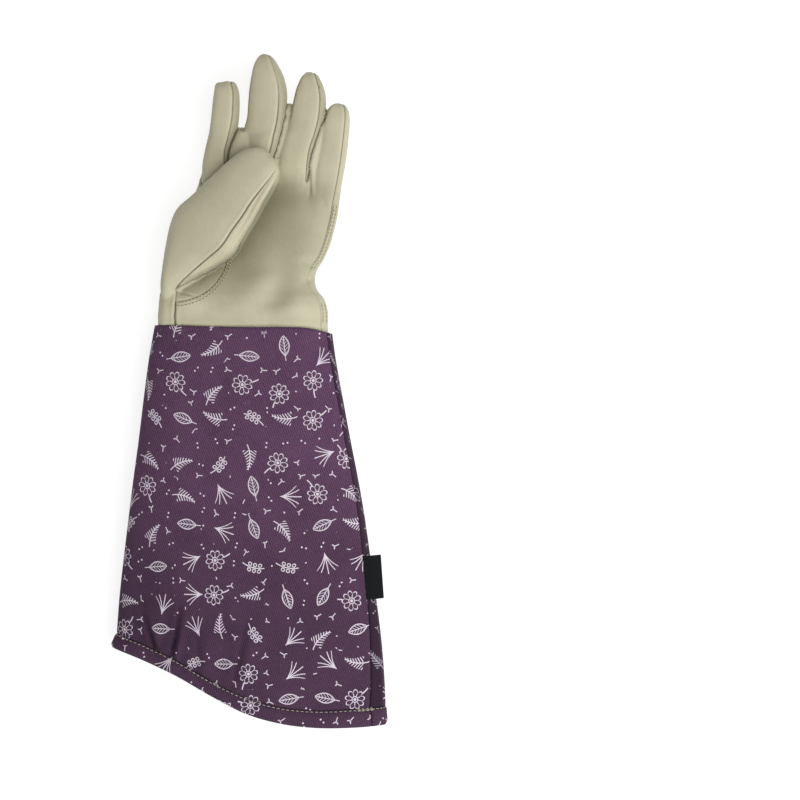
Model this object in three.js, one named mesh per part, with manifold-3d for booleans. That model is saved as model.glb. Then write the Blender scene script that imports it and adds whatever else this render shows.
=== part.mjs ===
// A left-hand gauntlet gardening glove, lying on its back with the palm up.
// The hand is hollow and sewn from leather panels: palm, back, thumb and the strips between the fingers.
// A flared cloth cuff with a deep turned hem and a side tab covers the forearm.
// Millimetres. X runs to the little finger's side, Y along the fingers, Z up out of the palm.
// The tables give places in the wrist's frame, whose origin is the middle of the wrist seam on the table.
import * as THREE from "three";
import Module from "manifold-3d";
import { mergeVertices } from "three/addons/utils/BufferGeometryUtils.js";

const wasm = await Module();
wasm.setup();

// Driving dimensions
const LEATHER_WALL = 1.8;
const CLOTH_WALL = 1.8;
const HEM_WALL = 3.2;
const HEM_PROUD = 0.5;
const HEM_DROP = 1;
const PIECE_GAP = 0.3;
const TAB = { width: 13, length: 30, thick: 1.6, lift: 0.7, down: 0.655, droop: 14, slant: -4 };

// How square each section is: 2 is an ellipse, and more is squarer.
const PALM_SQUARE = 3;
const FINGER_SQUARE = 3.2;
const THUMB_SQUARE = 2.5;
const CUFF_TOP_SQUARE = { wrist: 3.1, hem: 2.6 };
const CUFF_BASE_SQUARE = 4.5;

// A section's hollow ends where this little of it would be left inside the walls.
const LEAST_HALF_HOLLOW = 1.5;

// The part of the cuff's length, from the wrist, over which its top changes from the wrist's squareness to the hem's.
const CUFF_SQUARE_FADE = 0.3;

// How many flat steps go round each form's skin, panel by panel, and round each hollow.
const STEPS = {
  palmFront: 13,
  palmBack: 11,
  palmRadial: 4,
  fingerFront: 5,
  fingerBack: 5,
  edgeFingerBack: 8,
  thumbOuter: 10,
  thumbInner: 12,
  strip: 4,
  gussetQuarter: 20,
  palmHollow: 20,
  narrowHollow: 12,
};

// Points nearer than this are one point, and angles nearer than this are one angle.
const SAME_POINT = 1e-4;
const SAME_ANGLE = 1e-6;

// The underside is flattened where it rests: a section's lower half is cut off flat at this part of its height.
const REST_FLAT = 0.93;

// Where the seams lie round a section, in degrees: 0 is the little finger's side and 90 the palm side.
const FINGER_SEAMS = { front: [42, 138], left: [138, 222], back: [222, 318], right: [318, 402] };
const INDEX_BACK = [138, 318];
const LITTLE_BACK = [222, 402];
const PALM_SEAMS = { front: [27, 134], radial: [134, 205], back: [205, 387] };
const THUMB_SEAMS = { outer: [46, 196], inner: [196, 406] };

// Reads a table whose rows are lists into rows with named columns.
function table(columns, rows) {
  return rows.map((row) => Object.fromEntries(columns.map((name, i) => [name, row[i]])));
}

// Each finger from inside the palm to its tip: centre, width across, depth from back to front, and roll in degrees.
const FINGER_COLUMNS = ["x", "y", "z", "width", "depth", "roll"];
const FINGERS = {
  index: table(FINGER_COLUMNS, [
    [-18.3, 84, 17, 20, 20, 2],
    [-16.8, 99, 19.5, 19.5, 23, 4],
    [-16.1, 111, 21, 18.5, 22.5, 8],
    [-14.6, 121, 22.5, 16.8, 21, 12],
    [-12, 131, 25, 16.8, 19.5, 14],
    [-10.1, 141, 28, 17.6, 18, 14],
    [-9, 151, 31, 17.4, 17, 14],
    [-8.5, 158, 33, 16.4, 16, 14],
    [-8.8, 162, 34, 14.8, 14.5, 14],
    [-9.1, 164.6, 34.5, 12.6, 11.5, 14],
    [-9.2, 166, 34.6, 9, 7, 13],
  ]),
  middle: table(FINGER_COLUMNS, [
    [8, 86, 17, 24, 20, 2],
    [9.2, 102, 19.5, 28, 23.5, 4],
    [10.2, 114.5, 21, 28, 24, 8],
    [12.7, 123, 22.5, 26.9, 23, 12],
    [15.7, 132, 25, 26.4, 21.5, 15],
    [18.1, 141, 28, 26, 20.5, 16],
    [19.2, 151, 31, 26.2, 20, 16],
    [19.6, 160, 33.5, 25.4, 19, 16],
    [19.2, 168, 35, 22.6, 18, 16],
    [18.5, 174.5, 36, 18.4, 16, 16],
    [18.2, 179.5, 36.5, 14.2, 13.5, 16],
    [18.1, 183, 36.6, 9.5, 10, 16],
    [18.1, 184.8, 36.6, 5, 5.5, 16],
  ]),
  ring: table(FINGER_COLUMNS, [
    [34.5, 80, 17, 22, 20, 2],
    [35.6, 94, 19, 25, 23, 4],
    [36.9, 106.5, 21, 25.5, 23.5, 7],
    [38.7, 116, 22.5, 24.4, 22, 9],
    [41.2, 125, 24.5, 23.1, 21, 10],
    [44.3, 134.5, 27, 23.1, 19.5, 10],
    [46.8, 144.5, 30, 23.1, 18.5, 10],
    [48.2, 154, 32.5, 21.8, 18, 10],
    [48.5, 161, 34, 19.2, 16.5, 10],
    [48.6, 166.5, 35, 15, 14, 10],
    [48.7, 170.3, 35.4, 11, 11, 10],
    [48.7, 172.6, 35.5, 6, 6.5, 10],
  ]),
  little: table(FINGER_COLUMNS, [
    [53.5, 68, 16, 15, 16, 2],
    [56.4, 83, 18, 18, 21, 3],
    [58.2, 94, 19.5, 20, 21.5, 5],
    [60.2, 104, 21, 20.4, 21, 6],
    [62.2, 114.5, 23, 20.2, 20, 7],
    [64, 124.5, 25.5, 19.4, 18.5, 8],
    [65.8, 134.5, 28, 18, 17.5, 8],
    [66.9, 141, 30, 16.6, 16.5, 8],
    [67.5, 146, 31, 15, 14, 8],
    [68, 149.3, 31.5, 12, 11, 8],
    [68.3, 151.6, 31.6, 7, 6.5, 8],
  ]),
};

// The palm from inside the cuff to the roots of the fingers: its two sides, and the heights of its front and back.
const PALM = table(
  ["y", "left", "right", "top", "base"],
  [
    [-6.5, -57.4, 60.6, 33, 3],
    [0, -57, 60, 34, 3],
    [6, -57, 60.4, 38, 1.6],
    [12, -56.3, 59.8, 40.2, 1],
    [19, -55.7, 57.4, 39.6, 0.8],
    [25, -54.7, 52.8, 38, 0.8],
    [32, -53.7, 51.1, 36.5, 0.8],
    [39, -52.6, 52.5, 35, 0.8],
    [46, -51.2, 57, 34, 0.6],
    [56, -48, 61.3, 33, 0.6],
    [66.5, -43.5, 64.3, 32.4, 0.8],
    [77, -38.5, 66.7, 32.2, 1.5],
    [87, -33.5, 68.1, 32.2, 2.5],
    [97.5, -29.5, 69.4, 31.2, 4.5],
    [105, -27, 69.3, 27.8, 8],
    [110.5, -24.5, 67.5, 22.5, 14],
  ],
);

// The thumb from inside the palm to its tip: the two edges of its broad face, and its depth.
const THUMB = table(
  ["leftX", "leftY", "leftZ", "rightX", "rightY", "rightZ", "depth"],
  [
    [-52, 8, 17, -42, 6.5, 18, 16],
    [-52.8, 20, 20, -41, 17, 21, 24],
    [-52, 35, 22.5, -38.5, 24.5, 25, 28],
    [-50, 52, 23.5, -27.6, 32, 30.5, 28],
    [-47.2, 68.5, 25, -14.3, 41.6, 35.5, 26],
    [-42.1, 80.6, 27.3, -3.8, 49.7, 39.8, 24],
    [-31.9, 89.3, 31.2, 3.2, 61, 43.2, 21],
    [-19.1, 100.5, 37.2, 10.2, 71.8, 46.2, 19],
    [-8.6, 109.6, 41, 16.3, 83.1, 48.5, 18],
    [1.1, 117, 42.8, 21.8, 92.4, 49.3, 17],
    [8.6, 119.5, 43.3, 25.1, 99.3, 48.8, 15.5],
    [16.1, 119.1, 44, 26.8, 104.8, 48, 12.5],
    [20.9, 116.6, 44.7, 26.5, 109.5, 47.7, 7],
  ],
);

// Soft hollows and swellings of the palm: centre, depth (less than 0 swells), half length, half width and direction.
const PALM_DENTS = table(
  ["x", "y", "depth", "along", "across", "turn"],
  [
    [22, 72, 5, 26, 13, 48],
    [20, 16, 2.2, 22, 9, 35],
    [16, 32, -1.2, 14, 8, 20],
    [47.5, 98, 2.5, 14, 5, 92],
    [-22, 12, 1.5, 14, 7, 10],
  ],
);

// The sewn oval that joins the thumb to the palm, seen from above.
// It cuts the palm's front from this low, clear of its back.
const GUSSET = { x: -34, y: 49, halfLength: 38, halfWidth: 31, turn: 68, base: 10, tall: 60 };

// The cuff's sides down its length, and its height there.
const CUFF_SIDES = table(
  ["y", "left", "right"],
  [
    [2, -58.2, 61.2],
    [-23, -62.4, 64.6],
    [-51, -66, 69.7],
    [-79, -69.3, 74.9],
    [-106, -72.9, 80.2],
    [-134, -76.4, 85],
    [-162, -79.9, 88.9],
    [-190, -83, 92.9],
    [-217, -85, 96.2],
    [-245, -86.5, 98.4],
    [-276, -88, 99.6],
  ],
);
const CUFF_HEIGHTS = table(
  ["down", "height"],
  [
    [0, 33],
    [0.15, 37],
    [0.5, 41.5],
    [0.8, 39],
    [1, 35],
  ],
);

// The cuff's top edge, its line of hem stitching and its bottom edge, from the thumb side to the other.
const CUFF_EDGES = table(
  ["across", "top", "stitch", "bottom"],
  [
    [0, 0.4, -211.1, -220.8],
    [0.125, 0.1, -219.3, -229.3],
    [0.25, -0.5, -230.2, -240],
    [0.375, -0.9, -243.7, -253.5],
    [0.5, -1.2, -254.5, -265.7],
    [0.625, -1.3, -260.8, -272.6],
    [0.75, -1.3, -263, -275.6],
    [0.875, -1.9, -262.5, -275.8],
    [1, -5.4, -261.4, -274.8],
  ],
);
const HEM_FLARE = { left: 3.7, right: 0.6 };

// The side seam's place round the cuff, in degrees, and its groove.
const CUFF_SEAM = table(
  ["down", "angle"],
  [
    [0, 23],
    [0.4, 19.5],
    [0.7, 23],
    [1, 31],
  ],
);
const SEAM_GROOVE = { depth: 0.9, halfAngle: 3.5 };

// Creases that the hem's stitching draws into the cuff: foot of each, length up the cloth, depth, half width and lean.
const CUFF_CREASES = table(
  ["x", "y", "length", "depth", "halfWidth", "lean"],
  [
    [-59, -218, 26, 1.8, 4.5, 12],
    [-45, -226, 30, 1.6, 4.5, -8],
    [4, -250, 34, 1.2, 5, -6],
  ],
);

const rad = THREE.MathUtils.degToRad;

// A smooth curve through one column of a table, read at a value of another.
function columnCurve(rows, key, value) {
  return (at) => {
    const rising = rows[rows.length - 1][key] > rows[0][key];
    const next = rows.findIndex((row) => (rising ? row[key] >= at : row[key] <= at));
    if (next === 0) return rows[0][value];
    if (next < 0) return rows[rows.length - 1][value];
    const [a, b] = [rows[next - 1], rows[next]];
    const before = rows[Math.max(next - 2, 0)];
    const after = rows[Math.min(next + 1, rows.length - 1)];
    const span = b[key] - a[key];
    const slopeA = ((b[value] - before[value]) / (b[key] - before[key])) * span;
    const slopeB = ((after[value] - a[value]) / (after[key] - a[key])) * span;
    const t = (at - a[key]) / span;
    const [t2, t3] = [t * t, t * t * t];
    return (
      (2 * t3 - 3 * t2 + 1) * a[value] +
      (t3 - 2 * t2 + t) * slopeA +
      (3 * t2 - 2 * t3) * b[value] +
      (t3 - t2) * slopeB
    );
  };
}

// A superellipse's unit coordinate for a sine or cosine.
function squared(wave, square) {
  return Math.sign(wave) * Math.abs(wave) ** (2 / square);
}

// The height of a lower half that is cut off flat, from 0 to -1.
function flattened(height) {
  return Math.max(height / REST_FLAT, -1);
}

// A solid from a closed geometry, whose shared vertices are merged first.
function solidOf(geometry) {
  const bare = new THREE.BufferGeometry();
  bare.setAttribute("position", geometry.getAttribute("position"));
  bare.setIndex(geometry.index);
  const merged = mergeVertices(bare, SAME_POINT);
  return new wasm.Manifold(
    new wasm.Mesh({
      numProp: 3,
      vertProperties: new Float32Array(merged.attributes.position.array),
      triVerts: new Uint32Array(merged.index.array),
    }),
  );
}

function geometryOf(solid) {
  const mesh = solid.getMesh();
  const geometry = new THREE.BufferGeometry();
  geometry.setAttribute("position", new THREE.BufferAttribute(mesh.vertProperties, 3));
  geometry.setIndex(new THREE.BufferAttribute(mesh.triVerts, 1));
  return geometry;
}

function union(solids) {
  return solids.reduce((all, solid) => all.add(solid));
}

function cut(solid, cutters) {
  return cutters.reduce((rest, cutter) => rest.subtract(cutter), solid);
}

// The piece that is left when the slivers that a cut leaves beside it are dropped.
function mainBody(solid) {
  return solid.decompose().reduce((best, body) => (body.volume() > best.volume() ? body : best));
}

// A solid skinned over rings of points, each with as many points, and closed by a flat face at both ends.
function loft(rings, outline) {
  const count = rings[0].length;
  const caps = THREE.ShapeUtils.triangulateShape(outline, []);
  const index = [];
  for (let ring = 0; ring < rings.length - 1; ring += 1) {
    for (let i = 0; i < count; i += 1) {
      const [a, b] = [ring * count + i, ring * count + ((i + 1) % count)];
      index.push(b, a, a + count, b, a + count, b + count);
    }
  }
  const last = (rings.length - 1) * count;
  for (const [a, b, c] of caps) {
    index.push(a, b, c, last + c, last + b, last + a);
  }
  const geometry = new THREE.BufferGeometry().setFromPoints(rings.flat());
  geometry.setIndex(index);
  return solidOf(geometry);
}

// Sections
// A section has a centre, an across axis, a depth axis, both half sizes and how square it is.

function fingerSections(rows) {
  const line = new THREE.CatmullRomCurve3(rows.map((row) => new THREE.Vector3(row.x, row.y, row.z)));
  return rows.map((row, i) => {
    const tangent = line.getTangent(i / (rows.length - 1));
    const across = new THREE.Vector3().crossVectors(tangent, new THREE.Vector3(0, 0, 1)).normalize();
    across.applyAxisAngle(tangent, -rad(row.roll));
    return {
      centre: new THREE.Vector3(row.x, row.y, row.z),
      across,
      deep: new THREE.Vector3().crossVectors(across, tangent).normalize(),
      halfWidth: row.width / 2,
      halfDepth: row.depth / 2,
      square: FINGER_SQUARE,
    };
  });
}

function thumbSections(rows) {
  const edges = rows.map((row) => ({
    left: new THREE.Vector3(row.leftX, row.leftY, row.leftZ),
    right: new THREE.Vector3(row.rightX, row.rightY, row.rightZ),
  }));
  const centres = edges.map(({ left, right }) => left.clone().add(right).multiplyScalar(0.5));
  return rows.map((row, i) => {
    const ahead = centres[Math.min(i + 1, rows.length - 1)];
    const behind = centres[Math.max(i - 1, 0)];
    const tangent = ahead.clone().sub(behind).normalize();
    const across = edges[i].right.clone().sub(edges[i].left);
    const halfWidth = across.length() / 2;
    across.normalize();
    return {
      centre: centres[i],
      across,
      deep: new THREE.Vector3().crossVectors(across, tangent).normalize(),
      halfWidth,
      halfDepth: row.depth / 2,
      square: THUMB_SQUARE,
    };
  });
}

function palmSections(rows) {
  return rows.map((row) => ({
    centre: new THREE.Vector3((row.left + row.right) / 2, row.y, (row.top + row.base) / 2),
    across: new THREE.Vector3(1, 0, 0),
    deep: new THREE.Vector3(0, 0, 1),
    halfWidth: (row.right - row.left) / 2,
    halfDepth: (row.top - row.base) / 2,
    square: PALM_SQUARE,
    dented: true,
    rests: true,
  }));
}

// How fast the dents fade in from the palm's sides, as a part of the section's sine.
const DENT_FADE = 1.6;

// How far the palm's front is pushed in at a place, seen from above.
function palmDent(x, y) {
  return PALM_DENTS.reduce((sum, dent) => {
    const [c, s] = [Math.cos(rad(dent.turn)), Math.sin(rad(dent.turn))];
    const along = ((x - dent.x) * c + (y - dent.y) * s) / dent.along;
    const across = ((y - dent.y) * c - (x - dent.x) * s) / dent.across;
    return sum + dent.depth * Math.exp(-along * along - across * across);
  }, 0);
}

// A point of a section at an angle round it, grown outward by a distance.
function sectionPoint(section, angle, grow) {
  const [c, s] = [Math.cos(angle), Math.sin(angle)];
  const height = squared(s, section.square);
  const across = (section.halfWidth + grow) * squared(c, section.square);
  const deep = (section.halfDepth + grow) * (section.rests && s < 0 ? flattened(height) : height);
  const point = section.centre
    .clone()
    .addScaledVector(section.across, across)
    .addScaledVector(section.deep, deep);
  if (section.dented && s > 0) point.z -= palmDent(point.x, point.y) * Math.min(1, DENT_FADE * s);
  return point;
}

// The sections with both ends drawn out along their form.
function lengthened(sections, reach) {
  return sections.map((section, i) => {
    const side = i === 0 ? 1 : i === sections.length - 1 ? -1 : 0;
    const outward = new THREE.Vector3().crossVectors(section.across, section.deep).multiplyScalar(side * reach);
    return { ...section, centre: section.centre.clone().add(outward) };
  });
}

// The part of a lofted form between two seams, as wedges from its middle line out to its skin.
// A shrink over 0 draws the cut faces in, and under 0 lets them and the skin out, for a cutter.
function sector(sections, [from, to], shrink, steps) {
  const grow = shrink < 0 ? PIECE_GAP : 0;
  const [first, last] = [rad(from), rad(to)];
  const middle = (first + last) / 2;
  const rings = lengthened(sections, grow).map((section) => {
    const points = Array.from({ length: steps + 1 }, (_, i) =>
      sectionPoint(section, first + ((last - first) * i) / steps, grow),
    );
    const inward = (point, sign) => {
      const out = point.clone().sub(section.centre).normalize();
      const tangent = new THREE.Vector3().crossVectors(section.across, section.deep);
      return point.addScaledVector(new THREE.Vector3().crossVectors(tangent, out), sign * shrink);
    };
    inward(points[0], 1);
    inward(points[steps], -1);
    const apexShift = shrink / Math.sin((last - first) / 2);
    const apex = section.centre
      .clone()
      .addScaledVector(section.across, apexShift * Math.cos(middle))
      .addScaledVector(section.deep, apexShift * Math.sin(middle));
    return [apex, ...points];
  });
  const outline = [
    new THREE.Vector2(0, 0),
    ...Array.from({ length: steps + 1 }, (_, i) => {
      const angle = first + ((last - first) * i) / steps;
      return new THREE.Vector2(Math.cos(angle), Math.sin(angle));
    }),
  ];
  return loft(rings, outline);
}

// The hollow inside a lofted form, a wall's thickness in from its skin.
function hollow(sections, steps, wall) {
  const least = wall + LEAST_HALF_HOLLOW;
  const room = sections.filter((section) => Math.min(section.halfWidth, section.halfDepth) > least);
  const rings = room.map((section) =>
    Array.from({ length: steps }, (_, i) => sectionPoint(section, (2 * Math.PI * i) / steps, -wall)),
  );
  const outline = Array.from({ length: steps }, (_, i) => {
    const angle = (2 * Math.PI * i) / steps;
    return new THREE.Vector2(Math.cos(angle), Math.sin(angle));
  });
  return loft(rings, outline);
}

// Leather hand

const fingers = Object.entries(FINGERS).map(([name, rows]) => ({ name, sections: fingerSections(rows) }));
const palmForm = palmSections(PALM);
const thumbForm = thumbSections(THUMB);
const [index, middle, ring, little] = fingers;

// The hand's hollow runs out past the wrist by this, so that it is open there.
const WRIST_REACH = 6;
function openedAtWrist(sections, reach) {
  const outside = sections[0].centre.clone().sub(new THREE.Vector3(0, reach, 0));
  return [{ ...sections[0], centre: outside }, ...sections];
}
const handHollow = union([
  hollow(openedAtWrist(palmForm, WRIST_REACH), STEPS.palmHollow, LEATHER_WALL),
  hollow(thumbForm, STEPS.narrowHollow, LEATHER_WALL),
  ...fingers.map(({ sections }) => hollow(sections, STEPS.narrowHollow, LEATHER_WALL)),
]);

// Each panel's wedges, and the same wedges let out by the gap, which cut its neighbours.
const HALF_GAP = PIECE_GAP / 2;
function wedge(sections, seams, steps) {
  return {
    piece: sector(sections, seams, HALF_GAP, steps),
    cutter: sector(sections, seams, -HALF_GAP, steps),
  };
}
const backSeams = { index: INDEX_BACK, little: LITTLE_BACK };
const fronts = [
  wedge(palmForm, PALM_SEAMS.front, STEPS.palmFront),
  ...fingers.map(({ sections }) => wedge(sections, FINGER_SEAMS.front, STEPS.fingerFront)),
];
const backs = [
  wedge(palmForm, PALM_SEAMS.back, STEPS.palmBack),
  ...fingers.map(({ name, sections }) => {
    const seams = backSeams[name];
    return seams ? wedge(sections, seams, STEPS.edgeFingerBack) : wedge(sections, FINGER_SEAMS.back, STEPS.fingerBack);
  }),
];
const outers = [
  wedge(palmForm, PALM_SEAMS.radial, STEPS.palmRadial),
  wedge(thumbForm, THUMB_SEAMS.outer, STEPS.thumbOuter),
];
const inner = wedge(thumbForm, THUMB_SEAMS.inner, STEPS.thumbInner);
const pieces = (wedges) => union(wedges.map(({ piece }) => piece));
const cutters = (wedges) => wedges.map(({ cutter }) => cutter);

const wholePalm = mainBody(cut(pieces(fronts), [handHollow]));
const backPanel = mainBody(cut(pieces(backs), [handHollow, ...cutters(fronts)]));
const thumbOuter = mainBody(cut(pieces(outers), [handHollow, ...cutters(fronts), ...cutters(backs)]));
const thumbInner = mainBody(
  cut(inner.piece, [handHollow, ...cutters(fronts), ...cutters(backs), ...cutters(outers)]),
);

// The oval round the thumb's root splits the palm leather into the palm panel and the gusset.
function gussetPrism(grow) {
  const shape = new THREE.Shape();
  shape.absellipse(0, 0, GUSSET.halfLength + grow, GUSSET.halfWidth + grow, 0, 2 * Math.PI, false, 0);
  const prism = new THREE.ExtrudeGeometry(shape, {
    depth: GUSSET.tall,
    bevelEnabled: false,
    curveSegments: STEPS.gussetQuarter,
  });
  prism.rotateZ(rad(GUSSET.turn));
  prism.translate(GUSSET.x, GUSSET.y, GUSSET.base);
  return solidOf(prism);
}
const palmPanel = mainBody(wholePalm.subtract(gussetPrism(HALF_GAP)));
const gusset = mainBody(wholePalm.intersect(gussetPrism(-HALF_GAP)));

// Strips between the fingers, each cut back by the panels and by the strip that it meets at the root.
const STRIPS = [
  ["strip_index_inner", index, FINGER_SEAMS.right],
  ["strip_middle_outer", middle, FINGER_SEAMS.left],
  ["strip_middle_inner", middle, FINGER_SEAMS.right],
  ["strip_ring_outer", ring, FINGER_SEAMS.left],
  ["strip_ring_inner", ring, FINGER_SEAMS.right],
  ["strip_little_outer", little, FINGER_SEAMS.left],
];
const strips = [];
for (const [name, finger, seams] of STRIPS) {
  const side = wedge(finger.sections, seams, STEPS.strip);
  const around = [...cutters(fronts), ...cutters(backs), ...cutters(outers), inner.cutter];
  const placed = strips.map((strip) => strip.cutter);
  strips.push({
    name,
    cutter: side.cutter,
    solid: mainBody(cut(side.piece, [handHollow, ...around, ...placed])),
  });
}

// Cloth cuff

const sideLeft = columnCurve(CUFF_SIDES, "y", "left");
const sideRight = columnCurve(CUFF_SIDES, "y", "right");
const topEdge = columnCurve(CUFF_EDGES, "across", "top");
const stitchLine = columnCurve(CUFF_EDGES, "across", "stitch");
const bottomEdge = columnCurve(CUFF_EDGES, "across", "bottom");
const cuffHeight = columnCurve(CUFF_HEIGHTS, "down", "height");
const seamAngle = columnCurve(CUFF_SEAM, "down", "angle");
const lerp = THREE.MathUtils.lerp;

// A crease starts this part of its length before its foot, and fades up the cloth by this power.
const CREASE_TAIL = 0.5;
const CREASE_FADE = 1.5;

// How far the creases push the cuff's upper cloth down at a place.
function creaseDepth(x, y) {
  return CUFF_CREASES.reduce((sum, crease) => {
    const up = (y - crease.y) / crease.length;
    if (up < -CREASE_TAIL || up > 1) return sum;
    const side = (x - crease.x - (y - crease.y) * Math.tan(rad(crease.lean))) / crease.halfWidth;
    const fade = up < 0 ? 1 + up / CREASE_TAIL : (1 - up) ** CREASE_FADE;
    return sum + crease.depth * fade * Math.exp(-side * side);
  }, 0);
}

// A point of the cuff's cloth: an angle round it, how far down it is, and a distance out from the middle of its wall.
function clothPoint(angle, down, grow, edges) {
  const [c, s] = [Math.cos(angle), Math.sin(angle)];
  const square = s > 0 ? edges.square(down) : CUFF_BASE_SQUARE;
  const wide = squared(c, square);
  const across = (wide + 1) / 2;
  const y = edges.y(across, down);
  const left = edges.left(y, down) - grow;
  const right = edges.right(y, down) + grow;
  const height = edges.height(down);
  const groove = Math.abs(angle - rad(edges.seam(down))) < SAME_ANGLE && grow > 0 ? SEAM_GROOVE.depth : 0;
  const half = height / 2 + grow - groove;
  const x = lerp(left, right, across);
  const dip = s > 0 ? creaseDepth(x, y) * s : 0;
  const round = squared(s, square);
  return new THREE.Vector3(x, y, height / 2 + CLOTH_WALL + half * (s < 0 ? flattened(round) : round) - dip);
}

// Angles round the cuff, with the seam's groove among them.
function clothAngles(down, steps, seam) {
  const groove = rad(seam(down));
  const half = rad(SEAM_GROOVE.halfAngle);
  const rest = 2 * Math.PI - 2 * half;
  const around = Array.from({ length: steps }, (_, i) => groove + half + (rest * i) / steps);
  return [groove, ...around, groove + half + rest];
}

// A tube of cloth: an outer and an inner skin, joined at both ends.
function clothTube(downs, steps, outward, inward, edges) {
  const grid = downs.map((down) => {
    const angles = clothAngles(down, steps, edges.seam);
    return {
      outer: angles.map((angle) => clothPoint(angle, down, outward, edges)),
      inner: angles.map((angle) => clothPoint(angle, down, -inward, edges)),
    };
  });
  const loopOfRings = [...grid.map((row) => row.outer), ...grid.map((row) => row.inner).reverse()];
  const count = loopOfRings[0].length;
  const rows = loopOfRings.length;
  const triangles = [];
  for (let ringIndex = 0; ringIndex < rows; ringIndex += 1) {
    const nextRing = (ringIndex + 1) % rows;
    for (let i = 0; i < count; i += 1) {
      const j = (i + 1) % count;
      const [a, b] = [ringIndex * count + i, ringIndex * count + j];
      const [c, d] = [nextRing * count + j, nextRing * count + i];
      triangles.push(a, b, c, a, c, d);
    }
  }
  const geometry = new THREE.BufferGeometry().setFromPoints(loopOfRings.flat());
  geometry.setIndex(triangles);
  return solidOf(geometry);
}

const cuffEdges = {
  y: (across, down) => lerp(topEdge(across), stitchLine(across), down),
  left: (y) => sideLeft(y),
  right: (y) => sideRight(y),
  height: cuffHeight,
  square: (down) => lerp(CUFF_TOP_SQUARE.wrist, CUFF_TOP_SQUARE.hem, Math.min(1, down / CUFF_SQUARE_FADE)),
  seam: seamAngle,
};
const hemEdges = {
  y: (across, down) => lerp(stitchLine(across) - PIECE_GAP, bottomEdge(across), down),
  left: (y, down) => sideLeft(y) - HEM_FLARE.left * down,
  right: (y, down) => sideRight(y) + HEM_FLARE.right * down,
  height: (down) => cuffHeight(1) - HEM_DROP * down,
  square: () => CUFF_TOP_SQUARE.hem,
  seam: () => seamAngle(1),
};
const CUFF_ROWS = 11;
const CUFF_STEPS = 32;
const HEM_DOWNS = [0, 0.5, 1];
const cuffDowns = Array.from({ length: CUFF_ROWS + 1 }, (_, i) => i / CUFF_ROWS);
const cuff = clothTube(cuffDowns, CUFF_STEPS, CLOTH_WALL / 2, CLOTH_WALL / 2, cuffEdges);
const hemOut = CLOTH_WALL / 2 + HEM_PROUD;
const hem = clothTube(HEM_DOWNS, CUFF_STEPS, hemOut, HEM_WALL - hemOut, hemEdges);

// The side tab lies on the seam and reaches out past the cuff's edge.
const tabRoot = clothPoint(rad(seamAngle(TAB.down)), TAB.down, 0, cuffEdges);
const tabBlock = new THREE.BoxGeometry(TAB.width, TAB.length, TAB.thick).translate(TAB.width / 2, 0, TAB.thick / 2);
tabBlock.rotateY(rad(TAB.droop)).rotateZ(rad(-TAB.slant));
tabBlock.translate(tabRoot.x, tabRoot.y, tabRoot.z + TAB.lift);
const underTab = clothTube(cuffDowns, CUFF_STEPS, CLOTH_WALL / 2 + PIECE_GAP, CLOTH_WALL * 2, cuffEdges);
const tab = mainBody(solidOf(tabBlock).subtract(underTab));

// Assembly

const leather = { color: 0xcfc9ac, roughness: 0.55, metalness: 0 };
const cloth = { color: 0x5a3f5c, roughness: 0.85, metalness: 0 };
const woven = { color: 0x17191c, roughness: 0.7, metalness: 0 };

const glove = new THREE.Group();
function place(name, geometry, look) {
  const mesh = new THREE.Mesh(geometry, new THREE.MeshStandardMaterial(look));
  mesh.name = name;
  glove.add(mesh);
  return mesh;
}

place("palm_panel", geometryOf(palmPanel), leather);
place("back_panel", geometryOf(backPanel), leather);
place("thumb_outer", geometryOf(thumbOuter), leather);
place("thumb_inner", geometryOf(thumbInner), leather);
place("thumb_gusset", geometryOf(gusset), leather);
for (const { name, solid } of strips) place(name, geometryOf(solid), leather);
place("cuff", geometryOf(cuff), cloth);
place("cuff_hem", geometryOf(hem), cloth);
place("side_tab", geometryOf(tab), woven);

// The origin is the middle of the part's box, on the table.
const box = new THREE.Box3().setFromObject(glove);
const middleOfBox = box.getCenter(new THREE.Vector3());
glove.position.set(-middleOfBox.x, -middleOfBox.y, -box.min.z);

export default glove;
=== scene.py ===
"""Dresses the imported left-hand gauntlet gardening glove, palm up, in leather, printed cloth and thread."""
import logging
import math
from dataclasses import dataclass
from enum import Enum
from typing import Any, Callable, Optional, Sequence, Union

import bmesh
import bpy
import numpy as np
from mathutils import Matrix, Vector
from mathutils.bvhtree import BVHTree
from mathutils.kdtree import KDTree


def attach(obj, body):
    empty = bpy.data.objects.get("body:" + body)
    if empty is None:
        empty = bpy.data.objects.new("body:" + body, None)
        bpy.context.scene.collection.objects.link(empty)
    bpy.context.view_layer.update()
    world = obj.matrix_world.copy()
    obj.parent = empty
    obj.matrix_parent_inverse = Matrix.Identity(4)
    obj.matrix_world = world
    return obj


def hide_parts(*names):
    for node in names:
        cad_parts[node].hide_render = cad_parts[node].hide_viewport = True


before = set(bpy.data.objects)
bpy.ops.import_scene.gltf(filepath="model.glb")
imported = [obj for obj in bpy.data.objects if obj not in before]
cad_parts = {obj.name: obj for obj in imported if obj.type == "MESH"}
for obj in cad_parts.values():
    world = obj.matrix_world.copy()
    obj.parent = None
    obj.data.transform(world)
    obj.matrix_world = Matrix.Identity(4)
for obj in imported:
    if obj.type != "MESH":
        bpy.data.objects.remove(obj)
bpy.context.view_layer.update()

log = logging.getLogger("glove")

# All tables are in millimetres in the wrist's frame, and this shift takes them to the part's frame.
SHIFT = np.array([-5.5313, 45.5746, -0.4])
MM = 0.001

# How square each section is: 2 is an ellipse, and more is squarer.
PALM_SQUARE = 3.0
FINGER_SQUARE = 3.2
THUMB_SQUARE = 2.5

# What rests on the table is flat below this share of its half height.
REST_FLAT = 0.93

# How fast the palm's hollows set in from its sides.
DENT_FADE = 1.6

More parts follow.
